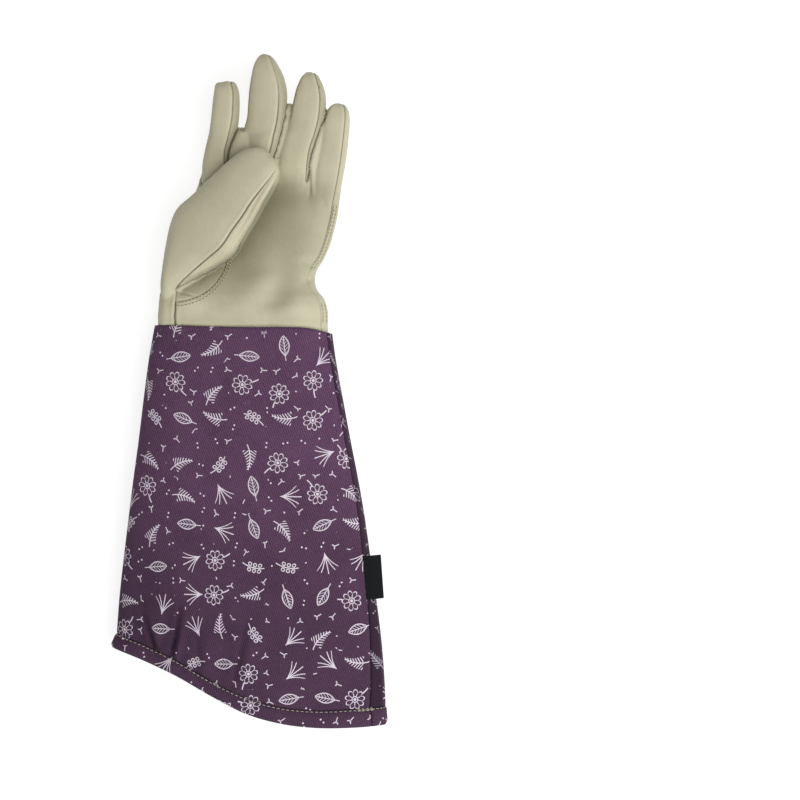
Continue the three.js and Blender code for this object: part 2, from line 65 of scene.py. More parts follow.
# Each finger from inside the palm to its tip: x, y, z, width, depth from back to front, and roll in degrees.
FINGERS = {
    "index": [
        (-18.3, 84, 17, 20, 20, 2), (-16.8, 99, 19.5, 19.5, 23, 4), (-16.1, 111, 21, 18.5, 22.5, 8),
        (-14.6, 121, 22.5, 16.8, 21, 12), (-12, 131, 25, 16.8, 19.5, 14), (-10.1, 141, 28, 17.6, 18, 14),
        (-9, 151, 31, 17.4, 17, 14), (-8.6, 158, 33, 16.4, 16, 14), (-9, 162, 34, 15.2, 14.5, 14),
        (-9.5, 164.8, 34.5, 13.4, 11.5, 14), (-9.7, 166.2, 34.6, 11.4, 7, 13),
    ],
    "middle": [
        (8, 86, 17, 24, 20, 2), (9.2, 102, 19.5, 28, 23.5, 4), (10.2, 114.5, 21, 28, 24, 8),
        (12.7, 123, 22.5, 26.9, 23, 12), (15.7, 132, 25, 26.4, 21.5, 15), (18.1, 141, 28, 26, 20.5, 16),
        (19.2, 151, 31, 26.2, 20, 16), (19.6, 160, 33.5, 25.4, 19, 16), (19.2, 168, 35, 22.6, 18, 16),
        (18.5, 174.5, 36, 18.4, 16, 16), (18.2, 179.5, 36.5, 14.2, 13.5, 16), (18.1, 183, 36.6, 9.5, 10, 16),
        (18.1, 184.8, 36.6, 5, 5.5, 16),
    ],
    "ring": [
        (34.5, 80, 17, 22, 20, 2), (35.6, 94, 19, 25, 23, 4), (36.9, 106.5, 21, 25.5, 23.5, 7),
        (38.7, 116, 22.5, 24.4, 22, 9), (41.2, 125, 24.5, 23.1, 21, 10), (44.3, 134.5, 27, 23.1, 19.5, 10),
        (46.8, 144.5, 30, 23.1, 18.5, 10), (48.2, 154, 32.5, 21.8, 18, 10), (48.5, 161, 34, 19.2, 16.5, 10),
        (48.6, 166.5, 35, 15, 14, 10), (48.7, 170.3, 35.4, 11, 11, 10), (48.7, 172.6, 35.5, 6, 6.5, 10),
    ],
    "little": [
        (53.5, 68, 16, 15, 16, 2), (56.4, 83, 18, 18, 21, 3), (58.2, 94, 19.5, 20, 21.5, 5),
        (60.2, 104, 21, 20.4, 21, 6), (62.2, 114.5, 23, 20.2, 20, 7), (64, 124.5, 25.5, 19.4, 18.5, 8),
        (65.8, 134.5, 28, 18, 17.5, 8), (66.9, 141, 30, 16.6, 16.5, 8), (67.5, 146, 31, 15, 14, 8),
        (68, 149.3, 31.5, 12, 11, 8), (68.3, 151.6, 31.6, 7, 6.5, 8),
    ],
}

# The leather that joins the fingers at their roots, in the fingers' columns.
WEBS = {
    "index_middle": [
        (-1, 92, 17, 20, 23, 0), (-0.5, 108, 19, 20, 24, 0), (0.8, 120, 21, 18.5, 23.5, -2),
        (2.6, 129, 23.5, 14.5, 21, -4), (3.6, 134.5, 25.5, 10, 15, -4),
    ],
    "middle_ring": [
        (22, 88, 17, 20, 23, 0), (23, 102, 19, 18, 23, 0), (23.8, 110, 20, 13, 20, 0),
        (25.4, 117, 20.5, 10, 17, 0), (29.2, 127, 22.5, 8.5, 16, 0), (32.2, 138.5, 25, 8, 14, 0),
        (34, 148.5, 27.5, 6, 11, 0), (34.6, 152, 28.5, 3.5, 7, 0),
    ],
    "ring_little": [
        (46, 76, 16, 20, 23, 0), (46.6, 90, 18, 18, 23.5, 0), (47.4, 101, 19.5, 13, 21, 0),
        (48.6, 108, 20.5, 13, 19, 0), (50.8, 118, 22.5, 12, 19, 0), (53.8, 130, 25, 11, 17, 0),
        (56.4, 142, 28, 9, 13, 0), (57.5, 147.5, 29, 5, 8, 0),
    ],
}

# The palm from inside the cuff to the finger roots: y, its two sides, and the heights of its front and back.
PALM = [
    (-6.5, -57.4, 60.6, 33, 3), (0, -57, 60, 34, 3), (6, -57, 60.4, 38, 1.6), (12, -56.3, 59.8, 40.2, 1),
    (19, -55.7, 57.4, 39.6, 0.8), (25, -54.7, 52.8, 38, 0.8), (32, -53.7, 51.1, 36.5, 0.8),
    (39, -52.6, 52.5, 35, 0.8), (46, -51.2, 57, 34, 0.6), (56, -48, 61.3, 33, 0.6),
    (66.5, -43.5, 64.3, 32.4, 0.8), (77, -38.5, 66.7, 32.2, 1.5), (87, -33.5, 68.1, 32.2, 2.5),
    (97.5, -29.5, 69.4, 31.2, 4.5), (105, -27, 69.3, 27.8, 8), (110.5, -24.5, 67.5, 22.5, 14),
]

# The thumb from inside the palm to its tip: the two edges of its broad face, x, y and z each, and its depth.
THUMB = [
    (-52, 8, 17, -42, 6.5, 18, 16), (-52.8, 20, 20, -41, 17, 21, 24), (-52, 35, 22.5, -38.5, 24.5, 25, 28),
    (-50, 52, 23.5, -27.6, 32, 30.5, 28), (-47.2, 68.5, 25, -14.3, 41.6, 35.5, 26),
    (-42.1, 80.6, 27.3, -3.8, 49.7, 39.8, 24), (-31.9, 89.3, 31.2, 3.2, 61, 43.2, 21),
    (-19.1, 100.5, 37.2, 10.2, 71.8, 46.2, 19), (-8.6, 109.6, 41, 16.3, 83.1, 48.5, 18),
    (1.1, 117, 42.8, 21.8, 92.4, 49.3, 17), (8.6, 119.5, 43.3, 25.1, 99.3, 48.8, 15.5),
    (16.1, 119.1, 44, 26.8, 104.8, 48, 12.5), (20.9, 116.6, 44.7, 26.5, 109.5, 47.7, 7),
]

# Soft hollows of the palm: middle, half length, half width, direction and depth, less than 0 for a swelling.
PALM_DENTS = [
    (20, 16, 22, 9, 35, 2.2), (16, 32, 14, 8, 20, -1.2), (47.5, 98, 14, 5, 92, 2.5),
    (-22, 12, 14, 7, 10, 1.5),
]

# Where the seams lie round a section, in degrees: 0 is the little finger's side and 90 the palm side.
FINGER_FRONT, FINGER_LEFT, FINGER_BACK, FINGER_RIGHT = (42, 146), (146, 222), (222, 318), (318, 402)
PALM_FRONT, PALM_RADIAL, PALM_BACK = (27, 134), (134, 205), (205, 387)
THUMB_OUTER, THUMB_INNER = (46, 196), (196, 406)
WEB_FRONT, WEB_BACK = (0, 180), (180, 360)

# The seam at a finger's left, where it isn't the usual one.
FINGER_LEFT_SEAM = {"index": 168.0}

# How far the thumb's seams turn round it, in degrees, at parts of its length.
THUMB_TWIST = ((0.0, 0.62, 0.75, 0.85, 1.0), (0.0, -2.0, -12.0, -22.0, -30.0))

# The sewn curve round the thumb's root from above: an oval's middle, half sizes and direction in degrees.
GUSSET = (-62.6, 70.8, 44.9, 62.4, 44.4)

# How far along the glove that curve goes.
GUSSET_TOP = 58.0

# The cuff's sides down its length, and its height there.
CUFF_SIDES = [
    (2, -58.2, 61.2), (-23, -62.4, 64.6), (-51, -66, 69.7), (-79, -69.3, 74.9), (-106, -72.9, 80.2),
    (-134, -76.4, 85), (-162, -79.9, 88.9), (-190, -83, 92.9), (-217, -85, 96.2), (-245, -86.5, 98.4),
    (-276, -88, 99.6),
]
CUFF_HEIGHTS = [(0, 33), (0.15, 37), (0.5, 41.5), (0.8, 39), (1, 35)]

# From the thumb side to the other: the cuff's top edge, its line of hem stitching and its bottom edge.
CUFF_EDGES = [
    (0, 0.4, -211.1, -220.8), (0.125, 0.1, -219.3, -229.3), (0.25, -0.5, -230.2, -240),
    (0.375, -0.9, -243.7, -253.5), (0.5, -1.2, -254.5, -265.7), (0.625, -1.3, -260.8, -272.6),
    (0.75, -1.3, -263, -275.6), (0.875, -1.9, -262.5, -275.8), (1, -5.4, -261.4, -274.8),
]

# How far the hem spreads at its left and right, and how far it drops, down to its edge.
HEM_FLARE = (3.7, 0.6)
HEM_DROP = 1.0

# How square the cuff is on top, at the wrist and at the hem, and below, and where its top has changed over.
CUFF_TOP_SQUARE = (3.1, 2.6)
CUFF_BASE_SQUARE = 4.5
CUFF_SQUARE_FADE = 0.3

# The side seam's angle in degrees, at parts of the cuff's length.
CUFF_SEAM = [(0, 23), (0.4, 19.5), (0.7, 23), (1, 31)]


def spline(rows: Sequence[Sequence[float]], column: int) -> Callable[[np.ndarray], np.ndarray]:
    """Makes a smooth curve through one column of a table, read at values of its first column.

    Args:
        rows: The table's rows.
        column: The column that the curve gives.

    Returns:
        A function of an array of places.
    """
    data = np.array(rows, dtype=float)
    if data[0, 0] > data[-1, 0]:
        data = data[::-1]
    x, y = data[:, 0], data[:, column]
    ahead, behind = np.minimum(np.arange(len(x)) + 1, len(x) - 1), np.maximum(np.arange(len(x)) - 1, 0)
    slopes = (y[ahead] - y[behind]) / (x[ahead] - x[behind])

    def read(at: np.ndarray) -> np.ndarray:
        """Reads the curve at an array of places.

        Args:
            at: The places.

        Returns:
            The curve's values there.
        """
        at = np.clip(np.asarray(at, dtype=float), x[0], x[-1])
        i = np.clip(np.searchsorted(x, at) - 1, 0, len(x) - 2)
        span = x[i + 1] - x[i]
        t = (at - x[i]) / span
        t2, t3 = t * t, t * t * t
        return ((2 * t3 - 3 * t2 + 1) * y[i] + (t3 - 2 * t2 + t) * slopes[i] * span
                + (3 * t2 - 2 * t3) * y[i + 1] + (t3 - t2) * slopes[i + 1] * span)

    return read


def dense(rows: np.ndarray, between: int) -> np.ndarray:
    """Fills a table with smooth rows between its own.

    Args:
        rows: The table.
        between: How many steps lie between two of its rows.

    Returns:
        The finer table.
    """
    count = len(rows)
    t = np.linspace(0, count - 1, (count - 1) * between + 1)
    i = np.minimum(t.astype(int), count - 2)
    f = (t - i)[:, None]
    a, b, c, d = rows[np.maximum(i - 1, 0)], rows[i], rows[i + 1], rows[np.minimum(i + 2, count - 1)]
    return 0.5 * (2 * b + (c - a) * f + (2 * a - 5 * b + 4 * c - d) * f**2 + (3 * b - a - 3 * c + d) * f**3)


def unit(rows: np.ndarray) -> np.ndarray:
    """Gives each row vector the length 1."""
    return rows / np.maximum(np.linalg.norm(rows, axis=-1, keepdims=True), 1e-9)


def squared(wave: np.ndarray, square: Union[float, np.ndarray]) -> np.ndarray:
    """A superellipse's unit coordinate for a sine or cosine."""
    return np.sign(wave) * np.abs(wave) ** (2 / square)


def fade(at: np.ndarray, start: float, end: float) -> np.ndarray:
    """Rises smoothly from 0 at start to 1 at end."""
    t = np.clip((at - start) / (end - start), 0, 1)
    return t * t * (3 - 2 * t)


def turned_to(x: np.ndarray, y: np.ndarray, degrees: float) -> tuple[np.ndarray, np.ndarray]:
    """How far places lie along a direction and to the left of it."""
    c, s = math.cos(math.radians(degrees)), math.sin(math.radians(degrees))
    return x * c + y * s, y * c - x * s


def gusset_outline(out: float, count: int) -> np.ndarray:
    """Points round the sewn oval, seen from above.

    Args:
        out: How far outside the oval they are.
        count: How many points there are.

    Returns:
        A row for each point.
    """
    x, y, length, width, turn = GUSSET
    t = np.linspace(0, 2 * math.pi, count)
    u, v = turned_to((length + out) * np.cos(t), (width + out) * np.sin(t), -turn)
    return np.stack([x + u, y + v], axis=1)


def patches(x: np.ndarray, y: np.ndarray, table: Sequence[Sequence[float]]) -> np.ndarray:
    """The sum of soft oval patches seen from above.

    Args:
        x: Places across the glove.
        y: Places along it.
        table: For each patch its middle, half length, half width, direction in degrees and strength.

    Returns:
        The strength at each place.
    """
    total = np.zeros_like(x)
    for cx, cy, along, across, turn, strength in table:
        u, v = turned_to(x - cx, y - cy, turn)
        u, v = u / along, v / across
        total += strength * np.exp(-u * u - v * v)
    return total


class Panel(Enum):
    """The leather hand's panels, by the names of their nodes."""

    PALM = "palm_panel"
    BACK = "back_panel"
    THUMB_OUTER = "thumb_outer"
    THUMB_INNER = "thumb_inner"
    GUSSET = "thumb_gusset"
    INDEX_INNER = "strip_index_inner"
    MIDDLE_OUTER = "strip_middle_outer"
    MIDDLE_INNER = "strip_middle_inner"
    RING_OUTER = "strip_ring_outer"
    RING_INNER = "strip_ring_inner"
    LITTLE_OUTER = "strip_little_outer"


PANELS = list(Panel)


@dataclass
class Form:
    """A soft tube of the hand: sections with a centre, two axes and half sizes, and the panels round them."""

    name: str
    centre: np.ndarray
    across: np.ndarray
    deep: np.ndarray
    half_width: np.ndarray
    half_depth: np.ndarray
    square: float
    panels: list[tuple[tuple[float, float], Panel]]
    rests: bool = False
    twist: Optional[np.ndarray] = None

    @classmethod
    def finger(cls, name: str, rows: Sequence[Sequence[float]], panels: list) -> "Form":
        """Makes a finger's form from its table.

        Args:
            name: The finger.
            rows: Its table.
            panels: Its panels, each with the angles that it spans.

        Returns:
            The form.
        """
        fine = dense(np.array(rows, dtype=float), 8)
        centre = fine[:, :3]
        tangent = unit(np.gradient(centre, axis=0))
        side = unit(np.cross(tangent, [0.0, 0.0, 1.0]))
        roll = -np.radians(fine[:, 5])[:, None]
        across = side * np.cos(roll) + np.cross(tangent, side) * np.sin(roll)
        deep = unit(np.cross(across, tangent))
        return cls(name, centre, across, deep, fine[:, 3] / 2, fine[:, 4] / 2, FINGER_SQUARE, panels)

    @classmethod
    def thumb(cls, rows: Sequence[Sequence[float]], panels: list) -> "Form":
        """Makes the thumb's form from its table.

        Args:
            rows: Its table.
            panels: Its panels, each with the angles that it spans.

        Returns:
            The form.
        """
        fine = dense(np.array(rows, dtype=float), 8)
        centre = (fine[:, :3] + fine[:, 3:6]) / 2
        tangent = unit(np.gradient(centre, axis=0))
        span = fine[:, 3:6] - fine[:, :3]
        across = unit(span)
        deep = unit(np.cross(across, tangent))
        half = np.linalg.norm(span, axis=1) / 2
        twist = np.interp(np.linspace(0, 1, len(fine)), *THUMB_TWIST)
        return cls("thumb", centre, across, deep, half, fine[:, 6] / 2, THUMB_SQUARE, panels, twist=twist)

    @classmethod
    def palm(cls, rows: Sequence[Sequence[float]], panels: list) -> "Form":
        """Makes the palm's form from its table.

        Args:
            rows: Its table.
            panels: Its panels, each with the angles that it spans.

        Returns:
            The form.
        """
        fine = dense(np.array(rows, dtype=float), 8)
        y, left, right, top, base = fine.T
        centre = np.stack([(left + right) / 2, y, (top + base) / 2], axis=1)
        across = np.tile([1.0, 0.0, 0.0], (len(fine), 1))
        deep = np.tile([0.0, 0.0, 1.0], (len(fine), 1))
        halves = ((right - left) / 2, (top - base) / 2)
        return cls("palm", centre, across, deep, *halves, PALM_SQUARE, panels, True)

    def points(self, ring: np.ndarray, angle: np.ndarray) -> np.ndarray:
        """Points of the skin.

        Args:
            ring: Which section, as whole numbers.
            angle: The angle round the section, in radians.

        Returns:
            A row for each point.
        """
        c, s = np.cos(angle), np.sin(angle)
        height = squared(s, self.square)
        if self.rests:
            height = np.where(s < 0, np.maximum(height / REST_FLAT, -1), height)
        aside = self.across[ring] * (self.half_width[ring] * squared(c, self.square))[:, None]
        point = self.centre[ring] + aside + self.deep[ring] * (self.half_depth[ring] * height)[:, None]
        if self.rests:
            dent = patches(point[:, 0], point[:, 1], PALM_DENTS)
            point[:, 2] -= np.where(s > 0, dent * np.minimum(1, DENT_FADE * s), 0)
        return point

    def angles(self, ring: np.ndarray, near: np.ndarray, place: np.ndarray) -> np.ndarray:
        """The exact angles, in degrees, of places on the skin.

        Args:
            ring: The section nearest to each place.
            near: A rough angle for each, in radians.
            place: The places.

        Returns:
            An angle from 0 to 360 for each.
        """
        place = place.copy()
        if self.rests:
            dent = patches(place[:, 0], place[:, 1], PALM_DENTS)
            place[:, 2] += dent * np.minimum(1, DENT_FADE * np.maximum(np.sin(near), 0))
        out = place - self.centre[ring]
        u = np.sum(out * self.across[ring], axis=1) / self.half_width[ring]
        v = np.sum(out * self.deep[ring], axis=1) / self.half_depth[ring]
        if self.rests:
            v = np.where(v < 0, v * REST_FLAT, v)
        power = self.square / 2
        wave = np.arctan2(np.sign(v) * np.abs(v) ** power, np.sign(u) * np.abs(u) ** power)
        twist = 0 if self.twist is None else self.twist[ring]
        return (np.degrees(wave) - twist) % 360

    def solid(self, around: int) -> bmesh.types.BMesh:
        """The closed form, from a grid that is wrapped round the sections.

        Args:
            around: How many faces go round.

        Returns:
            A new bmesh in millimetres.
        """
        bm = bmesh.new()
        rings = len(self.centre)
        bmesh.ops.create_grid(bm, x_segments=rings - 1, y_segments=around, size=0.5)
        place = np.array([v.co[:] for v in bm.verts])
        ring = np.rint((place[:, 0] + 0.5) * (rings - 1)).astype(int)
        points = self.points(ring, (place[:, 1] + 0.5) * 2 * math.pi)
        for vert, point in zip(bm.verts, points):
            vert.co = point
        bmesh.ops.remove_doubles(bm, verts=bm.verts, dist=1e-3)
        bmesh.ops.holes_fill(bm, edges=[e for e in bm.edges if e.is_boundary], sides=0)
        bmesh.ops.recalc_face_normals(bm, faces=bm.faces)
        return bm

    def seam(self, degrees: float, spacing: int = 12) -> np.ndarray:
        """Close points along the seam at an angle.

        Args:
            degrees: The seam's angle.
            spacing: How many points there are for each section.

        Returns:
            A row for each point.
        """
        rings = np.arange(len(self.centre))
        twist = np.zeros(len(rings)) if self.twist is None else self.twist
        line = self.points(rings, np.radians(degrees + twist))
        t = np.linspace(0, len(line) - 1, (len(line) - 1) * spacing + 1)
        i = np.minimum(t.astype(int), len(line) - 2)
        f = (t - i)[:, None]
        return line[i] * (1 - f) + line[i + 1] * f


def to_mesh(name: str, bm: bmesh.types.BMesh, scale: float = MM) -> bpy.types.Object:
    """Makes an object of a bmesh in millimetres of the part's frame, and frees the bmesh.

    Args:
        name: The object's name.
        bm: What it holds.
        scale: Metres in each of its units.

    Returns:
        The object, linked into the scene.
    """
    bmesh.ops.scale(bm, vec=(scale, scale, scale), verts=bm.verts)
    mesh = bpy.data.meshes.new(name)
    bm.to_mesh(mesh)
    bm.free()
    mesh.shade_smooth()
    piece = bpy.data.objects.new(name, mesh)
    bpy.context.scene.collection.objects.link(piece)
    return piece


def thicken(piece: bpy.types.Object, wall: float) -> None:
    """Gives a skin its wall, inward from its outer side, in metres.

    Args:
        piece: The skin's object.
        wall: How thick the wall is.
    """
    solid = piece.modifiers.new("wall", "SOLIDIFY")
    solid.thickness = wall
    solid.offset = -1


def coordinates(mesh: bpy.types.Mesh) -> np.ndarray:
    """A mesh's vertices as rows.

    Args:
        mesh: The mesh.

    Returns:
        A row for each vertex.
    """
    flat = np.empty(len(mesh.vertices) * 3)
    mesh.vertices.foreach_get("co", flat)
    return flat.reshape(-1, 3)


@dataclass
class Skin:
    """The hand's whole surface as arrays: places, edges, faces, and the panel of each face."""

    place: np.ndarray
    edges: np.ndarray
    faces: np.ndarray
    edge_faces: np.ndarray
    label: Optional[np.ndarray] = None

    @classmethod
    def of(cls, mesh: bpy.types.Mesh) -> "Skin":
        """Reads a mesh of four-sided faces, in millimetres.

        Args:
            mesh: The mesh.

        Returns:
            The skin, without its panels.
        """
        place = coordinates(mesh)
        edges = np.empty(len(mesh.edges) * 2, dtype=int)
        mesh.edges.foreach_get("vertices", edges)
        loops = np.empty(len(mesh.loops), dtype=int)
        mesh.loops.foreach_get("vertex_index", loops)
        loop_edges = np.empty(len(mesh.loops), dtype=int)
        mesh.loops.foreach_get("edge_index", loop_edges)
        faces = loops.reshape(-1, 4)
        owners = np.repeat(np.arange(len(faces)), 4)
        order = np.argsort(loop_edges, kind="stable")
        sorted_edges, sorted_owners = loop_edges[order], owners[order]
        first = np.searchsorted(sorted_edges, np.arange(len(mesh.edges)), side="left")
        last = np.searchsorted(sorted_edges, np.arange(len(mesh.edges)), side="right") - 1
        edge_faces = np.stack([sorted_owners[first], sorted_owners[last]], axis=1)
        return cls(place, edges.reshape(-1, 2), faces, edge_faces)

    def spread(self, values: np.ndarray, chosen: Optional[np.ndarray] = None) -> np.ndarray:
        """The mean of each vertex's neighbours.

        Args:
            values: One row for each vertex.
            chosen: The edges to follow, or all of them.

        Returns:
            The means, or a vertex's own values where it has no neighbour.
        """
        a, b = (self.edges if chosen is None else self.edges[chosen]).T
        size = len(values)
        count = np.bincount(a, minlength=size) + np.bincount(b, minlength=size)
        total = np.stack([np.bincount(a, weights=column[b], minlength=size)
                          + np.bincount(b, weights=column[a], minlength=size) for column in values.T], axis=1)
        return np.where(count[:, None] > 0, total / np.maximum(count, 1)[:, None], values)

    def smooth(self, rounds: int) -> None:
        """Takes the steps out of the surface without shrinking it.

        Args:
            rounds: How many times it is smoothed.
        """
        for _ in range(rounds):
            for factor in (0.5, -0.53):
                self.place = self.place + factor * (self.spread(self.place) - self.place)

    def normals(self) -> np.ndarray:
        """The outward normal at each vertex.

        Returns:
            A unit row for each vertex.
        """
        a, b, c, d = (self.place[self.faces[:, i]] for i in range(4))
        face = np.cross(c - a, d - b)
        total = np.zeros_like(self.place)
        for i in range(4):
            for axis in range(3):
                total[:, axis] += np.bincount(self.faces[:, i], weights=face[:, axis], minlength=len(total))
        return unit(total)


def distances(points: np.ndarray, targets: np.ndarray) -> tuple[np.ndarray, np.ndarray]:
    """How far each point is from its nearest target, and which target that is.

    Args:
        points: The points.
        targets: The targets.

    Returns:
        The distances, and the targets' numbers.
    """
    tree = KDTree(len(targets))
    for i, target in enumerate(targets):
        tree.insert(target, i)
    tree.balance()
    found = [tree.find(point) for point in points]
    return np.array([f[2] for f in found]), np.array([f[1] for f in found])


@dataclass
class Crease:
    """A fold of the leather seen from above: its middle, direction in degrees, half sizes and depth."""

    x: float
    y: float
    turn: float
    half_length: float
    half_width: float
    depth: float
    ridge: float = 0.0


# Folds and soft hollows of the leather's upper side, in the wrist's frame.
CREASES = [
    Crease(47.8, 97, 90, 9, 1.3, 1.7, 0.05),
    Crease(25, 24, 78, 24, 11, 2.6),
    Crease(10.7, 131, 8, 9, 3, 0.5),
    Crease(17, 123, 5, 9, 6, -1.2),
    Crease(52.2, 33, 20, 9, 3, 1.4),
    Crease(50, 42, -20, 8, 3, 1.2),
    Crease(-36, 21.5, -16, 8, 0.8, 0.8, 0.3),
    Crease(-52, 6, 88, 30, 4.2, -1.7),
]

# How dark and deep the seam between two panels is, where it isn't the usual one.
SEAM_STRENGTH = {
    frozenset((Panel.PALM, Panel.INDEX_INNER)): 0.85,
    frozenset((Panel.PALM, Panel.MIDDLE_INNER)): 0.95,
    frozenset((Panel.PALM, Panel.RING_INNER)): 0.85,
    frozenset((Panel.PALM, Panel.MIDDLE_OUTER)): 0.3,
    frozenset((Panel.PALM, Panel.RING_OUTER)): 0.35,
    frozenset((Panel.PALM, Panel.LITTLE_OUTER)): 0.35,
    frozenset((Panel.PALM, Panel.GUSSET)): 0.3,
    frozenset((Panel.PALM, Panel.THUMB_OUTER)): 1.0,
    frozenset((Panel.THUMB_OUTER, Panel.THUMB_INNER)): 1.0,
    frozenset((Panel.PALM, Panel.THUMB_INNER)): 0.0,
    frozenset((Panel.GUSSET, Panel.THUMB_INNER)): 0.0,
    frozenset((Panel.PALM, Panel.BACK)): 0.8,
}
USUAL_STRENGTH = 0.5

# Where a seam fades along the glove: where it is faint, where it is full, and how faint.
SEAM_FADE = {
    frozenset((Panel.PALM, Panel.MIDDLE_INNER)): (168.0, 140.0, 0.4),
    frozenset((Panel.PALM, Panel.BACK)): (42.0, 80.0, 0.25),
}

# How far each panel stands proud of its neighbours beside a seam.
RELIEF = {
    Panel.PALM: 0.35, Panel.BACK: 0.25, Panel.THUMB_OUTER: 0.45, Panel.THUMB_INNER: -0.25, Panel.GUSSET: -0.2,
    Panel.INDEX_INNER: -0.45, Panel.MIDDLE_OUTER: -0.45, Panel.MIDDLE_INNER: -0.45, Panel.RING_OUTER: -0.45,
    Panel.RING_INNER: -0.45, Panel.LITTLE_OUTER: -0.45,
}

# The thumb's long fold: its angle round the thumb and its depth, at parts of the thumb's length.
FOLD_ANGLE = ((0.0, 0.5, 0.75, 1.0), (20.0, 24.0, 32.0, 36.0))
FOLD_DEPTH = ((0.0, 0.4, 0.5, 0.7, 0.88, 0.95, 1.0), (0.0, 0.0, 0.7, 1.6, 1.4, 0.6, 0.0))

# The palm's hollow beside the thumb, at parts of the thumb's length: its depth and how far it reaches.
HOLLOW_DEPTH = (
    (0.1, 0.17, 0.25, 0.33, 0.42, 0.5, 0.58, 0.67, 0.75, 0.83, 0.92, 1.0),
    (0.0, 3.5, 7.5, 9.0, 10.5, 11.5, 12.0, 12.0, 11.0, 8.5, 5.5, 2.5),
)
HOLLOW_REACH = (
    (0.17, 0.25, 0.33, 0.42, 0.5, 0.67, 0.83, 1.0),
    (5.0, 7.0, 10.0, 14.0, 18.0, 22.0, 22.0, 14.0),
)

# Where along the glove the hollow ends, how far it reaches under the thumb, and how thick its steep wall is.
HOLLOW_TOP = (96.0, 118.0)
HOLLOW_UNDER = 5.0
HOLLOW_WALL = 2.4

# How much wider the hollow's painted shade is than the hollow, and where along the glove that painted shade
# ends.
HOLLOW_SHADE = 1.6
SHADE_TOP = (94.0, 108.0)

# Patches of painted shade on the palm: middle, half length, half width, direction and strength.
PALM_SHADE_PATCHES = [
    (33, 30, 17, 9, 68, 0.2), (17, 11, 13, 5, 12, 0.22), (44, 88, 20, 9, 10, 0.26), (2, 28, 20, 11, 50, 0.26),
    (-24, 6, 16, 6, 10, 0.15), (36, 50, 24, 12, 80, 0.14),
]

# How much painted shade the strips between the fingers get.
STRIP_SHADE = 0.34


# Rows of stitches round the thumb's root: how far they are outside its curve.
GUSSET_ROWS = (1.0, 3.2)

# Rows down the little finger's side: their angles in degrees, and their spans along the glove.
SIDE_ROWS = (23.0, 13.0)
SIDE_SPANS = ((38.0, 84.0), (1.0, 16.0))

# Short rows at the finger roots: x and y of both ends.
CROTCH_ROWS = ((-10.4, 112.6, -4.6, 113.8), (23.4, 115.6, 27.2, 114.6), (45.4, 108.4, 48.6, 107.6))


